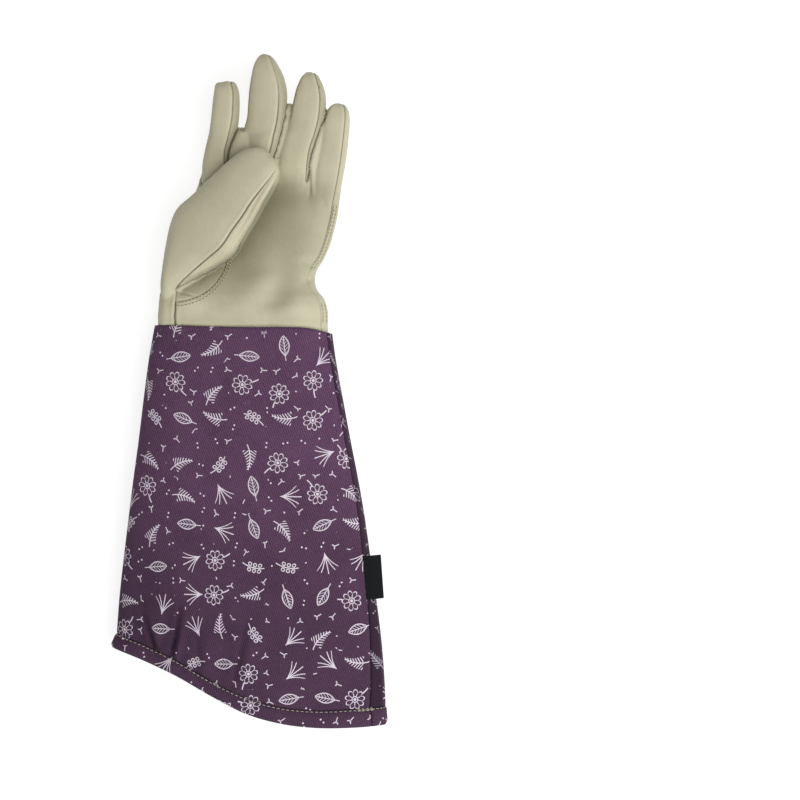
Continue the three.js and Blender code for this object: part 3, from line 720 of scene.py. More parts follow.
@dataclass
class Hand:
    """The leather hand: a skin over palm, fingers and thumb, carved along its seams and cut into panels."""

    voxel: float = 0.85
    wall: float = 1.2
    groove: float = 0.75
    groove_width: float = 0.75
    snap: float = 1.3
    wrist: float = -5.9

    def __post_init__(self) -> None:
        """Makes the forms."""
        strips = {
            "index": (Panel.BACK, Panel.INDEX_INNER),
            "middle": (Panel.MIDDLE_OUTER, Panel.MIDDLE_INNER),
            "ring": (Panel.RING_OUTER, Panel.RING_INNER),
            "little": (Panel.LITTLE_OUTER, Panel.BACK),
        }
        self.forms = [Form.palm(PALM, [(PALM_FRONT, Panel.PALM), (PALM_RADIAL, Panel.THUMB_OUTER),
                                       (PALM_BACK, Panel.BACK)])]
        for name, rows in FINGERS.items():
            left, right = strips[name]
            split = FINGER_LEFT_SEAM.get(name, FINGER_FRONT[1])
            self.forms.append(Form.finger(name, rows, [
                ((FINGER_FRONT[0], split), Panel.PALM), ((split, FINGER_LEFT[1]), left),
                (FINGER_BACK, Panel.BACK), (FINGER_RIGHT, right),
            ]))
        for name, rows in WEBS.items():
            self.forms.append(Form.finger(name, rows, [(WEB_FRONT, Panel.PALM), (WEB_BACK, Panel.BACK)]))
        thumb = [(THUMB_OUTER, Panel.THUMB_OUTER), (THUMB_INNER, Panel.THUMB_INNER)]
        self.forms.append(Form.thumb(THUMB, thumb))

    def skin(self) -> Skin:
        """The joined and smoothed surface of all the forms.

        Returns:
            The surface, in millimetres.
        """
        joined = bmesh.new()
        for form in self.forms:
            around = 160 if form.rests else 72
            bm = form.solid(around)
            mesh = bpy.data.meshes.new(form.name)
            bm.to_mesh(mesh)
            bm.free()
            joined.from_mesh(mesh)
            bpy.data.meshes.remove(mesh)
        raw = to_mesh("hand_form", joined, 1.0)
        remesh = raw.modifiers.new("skin", "REMESH")
        remesh.mode = "VOXEL"
        remesh.voxel_size = self.voxel
        whole = bpy.data.meshes.new_from_object(raw.evaluated_get(bpy.context.evaluated_depsgraph_get()))
        bpy.data.objects.remove(raw)
        self.whole = whole
        skin = Skin.of(whole)
        skin.smooth(14)
        return skin

    def labelled(self, skin: Skin) -> None:
        """Gives each face of the skin its panel, from the form and the angle that it lies at.

        Args:
            skin: The surface.
        """
        middle = skin.place[skin.faces].mean(axis=1)
        samples, owners, rings, turns = [], [], [], []
        for number, form in enumerate(self.forms):
            around = 320 if form.rests else 120
            ring, turn = np.meshgrid(np.arange(len(form.centre)), np.arange(around) * 2 * math.pi / around)
            samples.append(form.points(ring.ravel(), turn.ravel()))
            owners.append(np.full(ring.size, number))
            rings.append(ring.ravel())
            turns.append(turn.ravel())
        _, nearest = distances(middle, np.concatenate(samples))
        owner, ring, turn = (np.concatenate(part)[nearest] for part in (owners, rings, turns))
        label = np.zeros(len(middle), dtype=int)
        for number, form in enumerate(self.forms):
            mine = owner == number
            angle = form.angles(ring[mine], turn[mine], middle[mine])
            found = np.zeros(mine.sum(), dtype=int)
            for (start, end), panel in form.panels:
                inside = (angle - start) % 360 < end - start
                found[inside] = PANELS.index(panel)
            label[mine] = found
        oval = (self.oval_distance(middle) < 0) & (middle[:, 1] < GUSSET_TOP)
        label[(owner == 0) & (label == PANELS.index(Panel.PALM)) & oval] = PANELS.index(Panel.GUSSET)
        skin.label = self.settled(skin, label)

    @staticmethod
    def oval_distance(place: np.ndarray) -> np.ndarray:
        """How far places are outside the sewn oval, seen from above, and less than 0 inside it.

        Args:
            place: The places.

        Returns:
            A distance for each.
        """
        x, y, length, width, turn = GUSSET
        u, v = turned_to(place[:, 0] - x, place[:, 1] - y, turn)
        return (np.hypot(u / length, v / width) - 1) * (length + width) / 2

    @staticmethod
    def settled(skin: Skin, label: np.ndarray) -> np.ndarray:
        """Clears specks and ragged edges from the faces' panels.

        Args:
            skin: The surface.
            label: The panel of each face.

        Returns:
            The cleared panels.
        """
        a, b = skin.edge_faces.T
        for _ in range(6):
            votes = np.zeros((len(label), len(PANELS)))
            votes[np.arange(len(label)), label] = 1.5
            np.add.at(votes, (a, label[b]), 1)
            np.add.at(votes, (b, label[a]), 1)
            label = votes.argmax(axis=1)
        return label

    def seams(self) -> np.ndarray:
        """Close points along every sewn line of the hand.

        Returns:
            A row for each point.
        """
        lines = []
        for form in self.forms:
            if form.name in WEBS:
                continue
            for degrees in sorted({start % 360 for (start, _), _ in form.panels}):
                lines.append(form.seam(degrees))
        lines.append(self.on_palm(*gusset_outline(0.0, 900).T))
        return np.concatenate(lines)

    def on_palm(self, x: np.ndarray, y: np.ndarray) -> np.ndarray:
        """Points of the palm's front at places seen from above, left out where they are off it.

        Args:
            x: Places across the glove.
            y: Places along it.

        Returns:
            A row for each point that is left.
        """
        palm = self.forms[0]
        ring = np.abs(palm.centre[None, :, 1] - y[:, None]).argmin(axis=1)
        u = np.clip((x - palm.centre[ring, 0]) / palm.half_width[ring], -1, 1)
        angle = np.arccos(np.sign(u) * np.abs(u) ** (palm.square / 2))
        point = palm.points(ring, angle)
        point[:, 1] = y
        keep = (np.abs(u) < 0.99) & (y > palm.centre[0, 1]) & (y < palm.centre[-1, 1])
        return point[keep]

    def fitted(self, skin: Skin) -> tuple[np.ndarray, np.ndarray]:
        """Draws the panels' edges onto the seams.

        Args:
            skin: The labelled surface.

        Returns:
            Each vertex's distance from the nearest edge, and how strong the seam there is.
        """
        a, b = skin.edge_faces.T
        between = skin.label[a] != skin.label[b]
        rim = np.unique(skin.edges[between])
        normal = skin.normals()
        seams = self.seams()
        far, nearest = distances(skin.place[rim], seams)
        move = seams[nearest] - skin.place[rim]
        move -= normal[rim] * np.sum(move * normal[rim], axis=1)[:, None]
        weight = 1 - fade(far, self.snap * 0.75, self.snap)
        skin.place[rim] += move * weight[:, None]
        loose = np.zeros(len(skin.place))
        loose[rim] = 1 - weight
        for _ in range(8):
            mean = skin.spread(skin.place, between)
            skin.place += (mean - skin.place) * 0.5 * loose[:, None]
        fixed = np.zeros(len(skin.place), dtype=bool)
        fixed[rim] = True
        for _ in range(3):
            step = skin.spread(skin.place) - skin.place
            step -= normal * np.sum(step * normal, axis=1)[:, None]
            near = ~fixed
            skin.place[near] += 0.5 * step[near]
        ends = skin.place[skin.edges[between]]
        samples = np.concatenate([ends[:, 0] * (1 - t) + ends[:, 1] * t for t in (0, 0.25, 0.5, 0.75)])
        table = np.full((len(PANELS), len(PANELS)), USUAL_STRENGTH)
        for pair, value in SEAM_STRENGTH.items():
            one, other = (PANELS.index(panel) for panel in pair)
            table[one, other] = table[other, one] = value
        strength = table[skin.label[a[between]], skin.label[b[between]]]
        gap, nearest = distances(skin.place, samples)
        strength = np.tile(strength, 4)[nearest]
        one, other = skin.label[a[between]], skin.label[b[between]]
        for pair, (faint, full, least) in SEAM_FADE.items():
            first, second = (PANELS.index(panel) for panel in pair)
            either = ((one == first) & (other == second)) | ((one == second) & (other == first))
            mine = np.tile(either, 4)[nearest]
            part = np.clip((skin.place[:, 1] - faint) / (full - faint), 0, 1)
            strength = np.where(mine, strength * (least + (1 - least) * part), strength)
        return gap, strength

    def carved(self, skin: Skin, gap: np.ndarray, strength: np.ndarray) -> None:
        """Presses the seams and folds into the skin.

        Args:
            skin: The surface.
            gap: Each vertex's distance from the nearest seam.
            strength: How strong that seam is.
        """
        relief = np.array([RELIEF[panel] for panel in PANELS])
        votes = np.zeros(len(skin.place))
        count = np.zeros(len(skin.place))
        for i in range(4):
            votes += np.bincount(skin.faces[:, i], weights=relief[skin.label], minlength=len(votes))
            count += np.bincount(skin.faces[:, i], minlength=len(votes))
        rise = (votes / count) * np.exp(-((gap - 1.6) / 1.7) ** 2) * fade(gap, 0.3, 1.6)
        rise *= 0.3 + 0.7 * strength
        rise -= self.groove * strength ** 0.6 * np.exp(-((gap / self.groove_width) ** 2))
        fold, bank = self.thumb_fold(skin.place)
        rise += bank - fold
        self.fold = fold
        normal = skin.normals()
        upward = fade(normal[:, 2], 0.1, 0.5)
        x, y = skin.place[:, 0], skin.place[:, 1]
        for crease in CREASES:
            u, v = turned_to(x - crease.x, y - crease.y, crease.turn)
            u, v = u / crease.half_length, v / crease.half_width
            rise -= upward * crease.depth * np.exp(-u**4 - v * v)
            rise += upward * crease.ridge * np.exp(-u**4 - (np.abs(v) - 1.8) ** 2)
        skin.place += normal * rise[:, None]
        sunk, wall = self.hollow(skin)
        skin.place[:, 2] -= sunk
        for _ in range(4):
            skin.place += 0.5 * wall[:, None] * (skin.spread(skin.place) - skin.place)

    def hollow(self, skin: Skin) -> tuple[np.ndarray, np.ndarray]:
        """The palm's long hollow, deepest under the thumb's edge, with the painted shade and painted contact
        shadow that go with it.

        Args:
            skin: The labelled surface.

        Returns:
            How far each point sinks, and how much it belongs to the steep wall under the thumb.
        """
        thumb = self.forms[-1]
        flat = np.array([1.0, 1.0, 0.0])
        edge = dense(thumb.points(np.arange(len(thumb.centre)), np.zeros(len(thumb.centre))) * flat, 4)
        along = np.linspace(0, 1, len(edge))
        far, nearest = distances(skin.place * flat, edge)
        ahead = unit(np.gradient(edge, axis=0))[nearest]
        out = skin.place - edge[nearest]
        right = ahead[:, 1] * out[:, 0] - ahead[:, 0] * out[:, 1] > 0
        depth = np.interp(along, *HOLLOW_DEPTH)[nearest]
        reach = np.where(right, np.interp(along, *HOLLOW_REACH)[nearest], HOLLOW_UNDER)
        inner = skin.label == PANELS.index(Panel.THUMB_INNER)
        outer = skin.label == PANELS.index(Panel.THUMB_OUTER)
        on_palm, on_inner = np.zeros(len(skin.place), dtype=bool), np.zeros(len(skin.place), dtype=bool)
        on_palm[skin.faces[~inner & ~outer]] = True
        on_inner[skin.faces[inner]] = True
        gap, _ = distances(skin.place, skin.place[on_palm & on_inner])
        wall = np.exp(-((gap / HOLLOW_WALL) ** 2))
        share = np.where(on_palm, 1.0, np.where(on_inner, wall, 0.0)) * fade(skin.normals()[:, 2], -0.6, -0.1)
        share *= 1 - fade(skin.place[:, 1], *HOLLOW_TOP)
        # Painted contact shadow along the line where the thumb's inner side meets the palm.
        self.contact_shadow = 0.8 * np.exp(-((gap / 0.75) ** 2)) * (on_palm | on_inner)
        # Painted shade, kept in self.shade: deepest beside the thumb and fading across the hollow, with
        # patches on the palm and on the strips between the fingers.
        worn = np.where(right, np.exp(-far / (HOLLOW_SHADE * reach)), np.exp(-far / reach))
        worn = worn * depth / max(HOLLOW_DEPTH[1])
        worn = worn * share * (1 - fade(skin.place[:, 1], *SHADE_TOP))
        facing = fade(skin.normals()[:, 2], 0, 0.5)
        worn += on_palm * patches(skin.place[:, 0], skin.place[:, 1], PALM_SHADE_PATCHES) * facing
        strips = [PANELS.index(panel) for panel in (Panel.INDEX_INNER, Panel.MIDDLE_INNER, Panel.RING_INNER)]
        strip = np.zeros(len(skin.place))
        strip[skin.faces[np.isin(skin.label, strips)]] = STRIP_SHADE
        self.shade = np.maximum(worn, skin.spread(strip[:, None])[:, 0])
        return depth * np.exp(-far / reach) * share, wall * (on_palm | on_inner)

    def thumb_fold(self, place: np.ndarray) -> tuple[np.ndarray, np.ndarray]:
        """The long fold down the thumb's inner side.

        Args:
            place: The skin's points.

        Returns:
            How far the fold goes in at each, and how far its banks stand out.
        """
        thumb = self.forms[-1]
        rings = np.arange(len(thumb.centre))
        along = rings / (len(rings) - 1)
        line = thumb.points(rings, np.radians(np.interp(along, *FOLD_ANGLE) + thumb.twist))
        depth = np.interp(along, *FOLD_DEPTH)
        near, nearest = distances(place, line)
        up = unit(np.gradient(line, axis=0))[nearest]
        out = place - line[nearest]
        out -= up * np.sum(out * up, axis=1)[:, None]
        off = np.linalg.norm(out, axis=1)
        toward_edge = np.sum(out * thumb.across[nearest], axis=1) > 0
        fold = depth[nearest] * np.exp(-(off / 0.95) ** 2)
        bank = 0.5 * depth[nearest] * np.exp(-((off - 2.6) / 1.6) ** 2) * toward_edge
        return np.where(near < 8, fold, 0), np.where(near < 8, bank, 0)

    def build(self, finish: "Leather") -> None:
        """Builds every panel and dresses it.

        Args:
            finish: The leather.
        """
        skin = self.skin()
        log.info("hand: %d faces", len(skin.faces))
        self.labelled(skin)
        gap, strength = self.fitted(skin)
        self.carved(skin, gap, strength)
        self.surface = skin
        material = finish.material()
        place = skin.place + SHIFT
        whole = self.whole
        whole.vertices.foreach_set("co", place.ravel())
        # The seam attribute holds the seams' dark lines, with painted shade in the thumb's fold and the
        # painted contact shadow.
        seam = whole.attributes.new("seam", "FLOAT", "POINT")
        dark = np.maximum(strength * np.exp(-(gap / 0.8) ** 2), self.fold / 2.4)
        seam.data.foreach_set("value", np.maximum(dark, self.contact_shadow))
        # The shade attribute holds the painted shade of the palm's hollow, its patches and the finger strips.
        shade = whole.attributes.new("shade", "FLOAT", "POINT")
        shade.data.foreach_set("value", self.shade)
        source = bmesh.new()
        source.from_mesh(whole)
        source.faces.ensure_lookup_table()
        self.tree = BVHTree.FromBMesh(source)
        source.free()
        keep_wrist = place[skin.faces][:, :, 1].min(axis=1) > self.wrist + SHIFT[1]
        for number, panel in enumerate(PANELS):
            bm = bmesh.new()
            bm.from_mesh(whole)
            bm.faces.ensure_lookup_table()
            mine = (skin.label == number) & keep_wrist
            drop = [face for face, own in zip(bm.faces, mine) if not own]
            bmesh.ops.delete(bm, geom=drop, context="FACES")
            self.largest(bm)
            piece = to_mesh(panel.value + "_leather", bm)
            thicken(piece, self.wall * MM)
            piece.data.materials.append(material)
            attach(piece, "root")
            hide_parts(panel.value)
            log.info("%s: %d faces", piece.name, len(piece.data.polygons))
        bpy.data.meshes.remove(whole)

    def sew(self, thread: bpy.types.Material, hole: bpy.types.Material) -> None:
        """Sews the rows that show on the leather, with a dark blob of painted shade for a needle hole at each
        end of a stitch.

        Args:
            thread: The thread's material.
            hole: The material of the dark blobs that paint the needle holes' shade.
        """
        lines = []
        for out in GUSSET_ROWS:
            seen = gusset_outline(out, 1800) + SHIFT[:2]
            lines.append(np.array([hit for hit in map(self.hit, seen) if hit is not None]))
        palm = self.forms[0]
        for degrees in SIDE_ROWS:
            for start, end in SIDE_SPANS:
                rings = np.flatnonzero((palm.centre[:, 1] > start) & (palm.centre[:, 1] < end))
                lines.append(palm.points(rings, np.full(len(rings), math.radians(degrees))) + SHIFT)
        for ends in CROTCH_ROWS:
            seen = np.linspace(ends[:2], ends[2:], 8) + SHIFT[:2]
            line = [self.tree.ray_cast(Vector((*point, 90)), Vector((0, 0, -1)))[0] for point in seen]
            lines.append(np.array([hit for hit in line if hit is not None]))
        stitches = Stitches("leather_stitches", length=1.7, pitch=2.6, width=0.8)
        # Dark blobs of painted shade for the needle holes, built like stitches.
        holes = Stitches("needle_hole_shades", length=0.75, pitch=2.6, width=0.7)
        for line in lines:
            stitches.row(line, self.tree)
            holes.row(line, self.tree, 1.0)
        stitches.build("leather", thread)
        holes.build("leather", hole)

    def hit(self, seen: np.ndarray) -> Optional[tuple]:
        """The point of the palm or gusset straight below a place, or nothing where it is covered.

        Args:
            seen: The place, seen from above.

        Returns:
            The point, or nothing.
        """
        place, _, face, _ = self.tree.ray_cast(Vector((*seen, 90)), Vector((0, 0, -1)))
        if place is None or seen[1] > GUSSET_TOP + SHIFT[1]:
            return None
        panel = PANELS[self.surface.label[face]]
        return tuple(place) if panel in (Panel.PALM, Panel.GUSSET) else None

    @staticmethod
    def largest(bm: bmesh.types.BMesh) -> None:
        """Keeps the largest joined part of a panel and drops stray faces.

        Args:
            bm: The panel.
        """
        left = set(bm.faces)
        best: set = set()
        while left:
            seed = next(iter(left))
            group, front = {seed}, [seed]
            while front:
                face = front.pop()
                for edge in face.edges:
                    for other in edge.link_faces:
                        if other not in group:
                            group.add(other)
                            front.append(other)
            left -= group
            if len(group) > len(best):
                best = group
        bmesh.ops.delete(bm, geom=[face for face in bm.faces if face not in best], context="FACES")


@dataclass
class Stitches:
    """Rows of small thread stitches that lie on a surface."""

    name: str
    length: float
    pitch: float
    width: float

    def __post_init__(self) -> None:
        """Starts with no stitch."""
        self.bm = bmesh.new()

    def row(self, line: np.ndarray, tree: BVHTree, first: float = 0.5) -> None:
        """Sews along a line.

        Args:
            line: Points of the row, in millimetres of the part's frame.
            tree: The surface that the thread lies on.
            first: Where the first stitch is, as a share of the pitch.
        """
        run = np.concatenate([[0.0], np.cumsum(np.linalg.norm(np.diff(line, axis=0), axis=1))])
        for at in np.arange(self.pitch * first, run[-1], self.pitch):
            reach = (at - self.length / 2, at + self.length / 2)
            ends = [[np.interp(end, run, line[:, k]) for k in range(3)] for end in reach]
            found = [tree.find_nearest(Vector(end)) for end in ends]
            along = (found[1][0] - found[0][0]).normalized()
            across = (found[0][1] + found[1][1]).cross(along).normalized()
            up = along.cross(across)
            middle = (found[0][0] + found[1][0]) / 2 + up * self.width * 0.22
            turn = Matrix((along, across, up)).transposed().to_4x4()
            size = Matrix.Diagonal((self.length, self.width, self.width * 0.7, 1))
            place = Matrix.Translation(middle) @ turn @ size
            bmesh.ops.create_uvsphere(self.bm, u_segments=6, v_segments=4, radius=0.5, matrix=place)

    def build(self, slot: str, material: bpy.types.Material) -> None:
        """Makes the stitches one piece.

        Args:
            slot: Not used.
            material: The thread.
        """
        piece = to_mesh(self.name, self.bm)
        piece.data.materials.append(material)
        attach(piece, "root")
        log.info("%s: %d faces", self.name, len(piece.data.polygons))


class Shader:
    """Builds one material's nodes."""

    def __init__(self, name: str) -> None:
        """Starts a material with an empty tree.

        Args:
            name: The material's name.
        """
        self.material = bpy.data.materials.new(name)
        self.material.use_nodes = True
        self.tree = self.material.node_tree
        self.tree.nodes.clear()
        self.output = self.tree.nodes.new("ShaderNodeOutputMaterial")

    def node(self, kind: str, settings: Optional[dict] = None, inputs: Optional[dict] = None,
             output: Union[int, str] = 0) -> "Field":
        """Adds a node.

        Args:
            kind: The node's type, without its ShaderNode.
            settings: Its properties.
            inputs: Values or fields for its sockets, by name or number.
            output: Which output to give back.

        Returns:
            That output as a field.
        """
        node = self.tree.nodes.new("ShaderNode" + kind)
        for key, value in (settings or {}).items():
            setattr(node, key, value)
        for key, value in (inputs or {}).items():
            socket = node.inputs[key]
            if isinstance(value, Field):
                self.tree.links.new(value.socket, socket)
            else:
                socket.default_value = value
        return Field(self, node.outputs[output])

    def object_place(self) -> "Field":
        """The place on the object, in metres."""
        return self.node("TexCoord", output="Object")

    def attribute(self, name: str) -> "Field":
        """A number that the mesh carries."""
        return self.node("Attribute", {"attribute_name": name}, output="Fac")

    def axes(self, vector: "Field") -> tuple["Field", "Field"]:
        """A vector's x and y."""
        x, y = (self.node("SeparateXYZ", None, {0: vector}, output=k) for k in (0, 1))
        return x, y

    def scaled(self, vector: "Field", scale: tuple[float, float, float]) -> "Field":
        """A vector with each axis multiplied."""
        return self.node("VectorMath", {"operation": "MULTIPLY"}, {0: vector, 1: scale})

    def noise(self, vector: "Field", scale: float, detail: float = 2.0, roughness: float = 0.5) -> "Field":
        """Soft noise from 0 to 1 at a scale for each metre."""
        inputs = {"Vector": vector, "Scale": scale, "Detail": detail, "Roughness": roughness}
        return self.node("TexNoise", None, inputs)

    def mix(self, factor: Union["Field", float], a: Any, b: Any) -> "Field":
        """A colour between two."""
        return self.node("Mix", {"data_type": "RGBA"}, {0: factor, 6: a, 7: b}, output=2)

    def finish(self, colour: "Field", roughness: Union["Field", float], height: "Field", depth: float,
               constants: dict[str, Any]) -> bpy.types.Material:
        """Ends the material with one principled surface.

        Args:
            colour: Its base colour.
            roughness: Its roughness.
            height: The height that its bumps come from, 0 to 1.
            depth: How many metres a height of 1 stands for.
            constants: Values set on the surface's own sockets.

        Returns:
            The material.
        """
        bump = self.node("Bump", None, {"Height": height, "Distance": depth, "Strength": 1.0})
        surface = self.node("BsdfPrincipled", None,
                            {"Base Color": colour, "Roughness": roughness, "Normal": bump, **constants})
        self.tree.links.new(surface.socket, self.output.inputs["Surface"])
        return self.material


class Field:
    """A value that varies over a surface: one socket, with arithmetic that adds Math nodes."""

    def __init__(self, shader: Shader, socket: bpy.types.NodeSocket) -> None:
        """Wraps a socket.

        Args:
            shader: The material's builder.
            socket: The socket that gives the value.
        """
        self.shader = shader
        self.socket = socket

    def math(self, operation: str, *others: Any) -> "Field":
        """A Math node on this value and others."""
        return self.shader.node("Math", {"operation": operation}, dict(enumerate((self, *others))))

    def __add__(self, other: Any) -> "Field":
        """This plus another."""
        return self.math("ADD", other)

    __radd__ = __add__

    def __mul__(self, other: Any) -> "Field":
        """This times another."""
        return self.math("MULTIPLY", other)

    __rmul__ = __mul__

    def __sub__(self, other: Any) -> "Field":
        """This less another."""
        return self.math("SUBTRACT", other)

    def __rsub__(self, other: Any) -> "Field":
        """Another less this."""
        return self.shader.node("Math", {"operation": "SUBTRACT"}, {0: other, 1: self})

    def __truediv__(self, other: Any) -> "Field":
        """This over another."""
        return self.math("DIVIDE", other)

    def __pow__(self, other: Any) -> "Field":
        """This to a power."""
        return self.math("POWER", other)

    def __abs__(self) -> "Field":
        """This without its sign."""
        return self.math("ABSOLUTE")

    def least(self, other: Any) -> "Field":
        """The smaller of this and another."""
        return self.math("MINIMUM", other)

    def most(self, other: Any) -> "Field":
        """The larger of this and another."""
        return self.math("MAXIMUM", other)

    def step(self, start: float, end: float) -> "Field":
        """Goes smoothly from 0 at start to 1 at end."""
        return self.shader.node("MapRange", {"interpolation_type": "SMOOTHSTEP"},
                                {"Value": self, "From Min": start, "From Max": end})

    def stroke(self, half_width: float, soft: float = 0.14) -> "Field":
        """A drawn line where this distance is near 0."""
        return 1 - abs(self).step(half_width - soft, half_width + soft)


def linear(red: float, green: float, blue: float) -> tuple[float, float, float, float]:
    """A colour on the usual 0 to 255 scale as the shader's linear one.

    Args:
        red: Its red.
        green: Its green.
        blue: Its blue.

    Returns:
        Its three channels and a 1.
    """
    def one(value: float) -> float:
        """One channel."""
        value /= 255
        return value / 12.92 if value <= 0.04045 else ((value + 0.055) / 1.055) ** 2.4
    return (one(red), one(green), one(blue), 1.0)


@dataclass(frozen=True)
class Leather:
    """Soft smooth glove leather in pale sage-cream, with painted shade on the palm, the finger strips and in
    the thumb's fold, and a painted contact shadow under the thumb's edge.
    """

    light: tuple = linear(192, 187, 160)
    deep: tuple = linear(183, 178, 150)
    # The dark of the seam lines, also painted as shade in the thumb's fold and as a contact shadow under the
    # thumb's edge.
    seam: tuple = linear(70, 64, 42)
    # The duller tone that paints shade into the palm's hollow, its patches and the finger strips.
    palm: tuple = linear(118, 117, 92)

    def material(self) -> bpy.types.Material:
        """Builds the leather.

        Returns:
            The material.
        """
        s = Shader("leather")
        place = s.object_place()
        cloud = s.noise(place, 38, 3, 0.55)
        mottle = s.noise(place, 260, 4, 0.6)
        tone = (cloud * 0.7 + mottle * 0.3).step(0.3, 0.7)
        colour = s.mix(tone, self.light, self.deep)
        # Painted shade from the shade attribute.
        colour = s.mix(s.attribute("shade") * 0.85, colour, self.palm)
        # Dark seam lines, with painted shade in the thumb's fold and a painted contact shadow.
        crease = s.attribute("seam")
        colour = s.mix((crease ** 2) * 0.85, colour, self.seam)
        pores = s.node("TexVoronoi", {"feature": "F1"}, {"Vector": place, "Scale": 1500.0})
        grain = s.noise(place, 900, 3, 0.6)
        wrinkle = s.noise(s.scaled(place, (1.0, 0.45, 1.0)), 330, 3, 0.6)
        height = grain * 0.35 + pores * 0.3 + wrinkle * 0.6
        rough = 0.5 + 0.14 * mottle + crease * 0.15
        return s.finish(colour, rough, height, 0.00022,
                        {"Specular IOR Level": 0.35, "Sheen Weight": 0.08, "Sheen Roughness": 0.5})


@dataclass(frozen=True)
class Meadow:
    """A print of line-drawn meadow plants: daisies, ferns, leaves, berries and grass, with small sprigs."""

    cell: float = 21.0
    small_cell: float = 10.5
    line: float = 0.36

    def turned(self, s: Shader, cloth: "Field", cell: float,
               loose: float) -> tuple["Field", "Field", "Field", "Field"]:
        """Each motif's own turned coordinates.

        Args:
            s: The material's builder.
            cloth: The place on the cloth, in millimetres.
            cell: The spacing of the motifs.
            loose: How far they stray from a grid, 0 to 1.

        Returns:
            Across and along the motif, its distance from the middle, and a random number for it.
        """
        settings = {"voronoi_dimensions": "2D", "feature": "F1"}
        inputs = {"Vector": cloth, "Scale": 1 / cell, "Randomness": loose}
        centre = s.node("TexVoronoi", settings, inputs, output="Position")
        colour = s.node("TexVoronoi", settings, inputs, output="Color")
        chance, turn = (s.node("SeparateColor", None, {0: colour}, output=k) for k in (0, 1))
        local = s.node("VectorMath", {"operation": "SUBTRACT"}, {0: cloth, 1: centre})
        x, y = s.axes(local)
        angle = turn * (2 * math.pi)
        c, sine = angle.math("COSINE"), angle.math("SINE")
        u, v = x * c - y * sine, x * sine + y * c
        return u, v, (u * u + v * v) ** 0.5, chance

    def daisy(self, u: "Field", v: "Field", r: "Field") -> "Field":
        """A round flower drawn in outline, with a ringed middle and a stem.

        Args:
            u: Across the motif.
            v: Along it.
            r: The distance from its middle.

        Returns:
            How white it is, 0 to 1.
        """
        theta = v.math("ARCTAN2", u)
        petals = 9
        lobe = abs((theta * (petals / 2)).math("COSINE")) ** 0.55
        outline = (r - (3.3 + 2.6 * lobe)).stroke(self.line * 0.9)
        part = (theta * (petals / (2 * math.pi)) + 0.5).math("FRACT")
        split = (part.least(1 - part) * r * (2 * math.pi / petals)).stroke(self.line * 0.6)
        split = split * r.step(1.9, 2.2) * (1 - r.step(3.4, 3.8))
        middle = 1 - r.step(0.75, 1.05)
        ring = (r - 1.75).stroke(self.line * 0.7)
        bend = u - (v + 6.0) * (v + 6.0) * 0.035
        stem = bend.stroke(self.line) * (1 - v.step(-6.0, -5.6)) * v.step(-10.6, -10.2)
        return outline.most(split).most(middle).most(ring).most(stem)

    def fern(self, u: "Field", v: "Field") -> "Field":
        """A sprig of paired leaflets that shorten towards its tip.

        Args:
            u: Across the motif.
            v: Along it.

        Returns:
            How white it is, 0 to 1.
        """
        bend = u - v * v * 0.03
        side = abs(bend)
        stem = bend.stroke(self.line * 0.9) * v.step(-8.2, -7.8) * (1 - v.step(6.6, 7.0))
        row = ((v - side * 0.75) / 1.9).math("FRACT")
        leaf = ((row - 0.5) * 1.9).stroke(self.line * 0.95)
        reach = 4.1 - (v + 3.2) * 0.33
        within = (1 - (side - reach).step(-0.3, 0.3)) * v.step(-4.6, -4.2) * (1 - v.step(7.2, 7.6))
        return stem.most(leaf * within)

    def leaf(self, u: "Field", v: "Field") -> "Field":
        """A broad leaf in outline with a midrib and side veins.

        Args:
            u: Across the motif.
            v: Along it.

        Returns:
            How white it is, 0 to 1.
        """
        side = abs(u)
        width = 2.9 * (1 - (v / 6.2) * (v / 6.2)).most(0.0)
        outline = (side - width).stroke(self.line * 0.9) * (1 - abs(v).step(6.0, 6.3))
        rib = u.stroke(self.line * 0.7) * v.step(-9.4, -9.0) * (1 - v.step(5.2, 5.6))
        row = ((v - side) / 2.0).math("FRACT")
        veins = ((row - 0.5) * 2.0).stroke(self.line * 0.55) * (1 - (side - width).step(-0.6, -0.2))
        return outline.most(rib).most(veins * (1 - abs(v).step(4.6, 5.0)))

    def berries(self, u: "Field", v: "Field") -> "Field":
        """Open round berries on both sides of a bowed stalk.

        Args:
            u: Across the motif.
            v: Along it.

        Returns:
            How white it is, 0 to 1.
        """
        bend = u + v * v * 0.028 - 1.0
        stalk = bend.stroke(self.line * 0.9) * v.step(-8.4, -8.0) * (1 - v.step(5.4, 5.8))
        row = ((v + 5.0) / 3.1).math("FRACT")
        along = (row - 0.5) * 3.1
        away = abs(bend) - 1.75
        round_ = (((along * along) + (away * away)) ** 0.5 - 0.95).stroke(self.line * 0.8)
        return stalk.most(round_ * v.step(-5.0, -4.8) * (1 - v.step(4.2, 4.4)))

    def grass(self, u: "Field", v: "Field") -> "Field":
        """A tuft of blades that spread from one root.

        Args:
            u: Across the motif.
            v: Along it.

        Returns:
            How white it is, 0 to 1.
        """
        up = (v + 7.0).most(0.01)
        spread = up * up * 0.026 + up * 0.06
        place = u / spread
        near = (place - place.math("ROUND")) * spread
        tall = 13.5 - abs(place) * 1.7
        blades = near.stroke(self.line * 0.85) * (1 - abs(place).step(2.4, 2.6))
        return blades * (1 - (up - tall).step(-0.3, 0.3)) * up.step(0.2, 0.6)

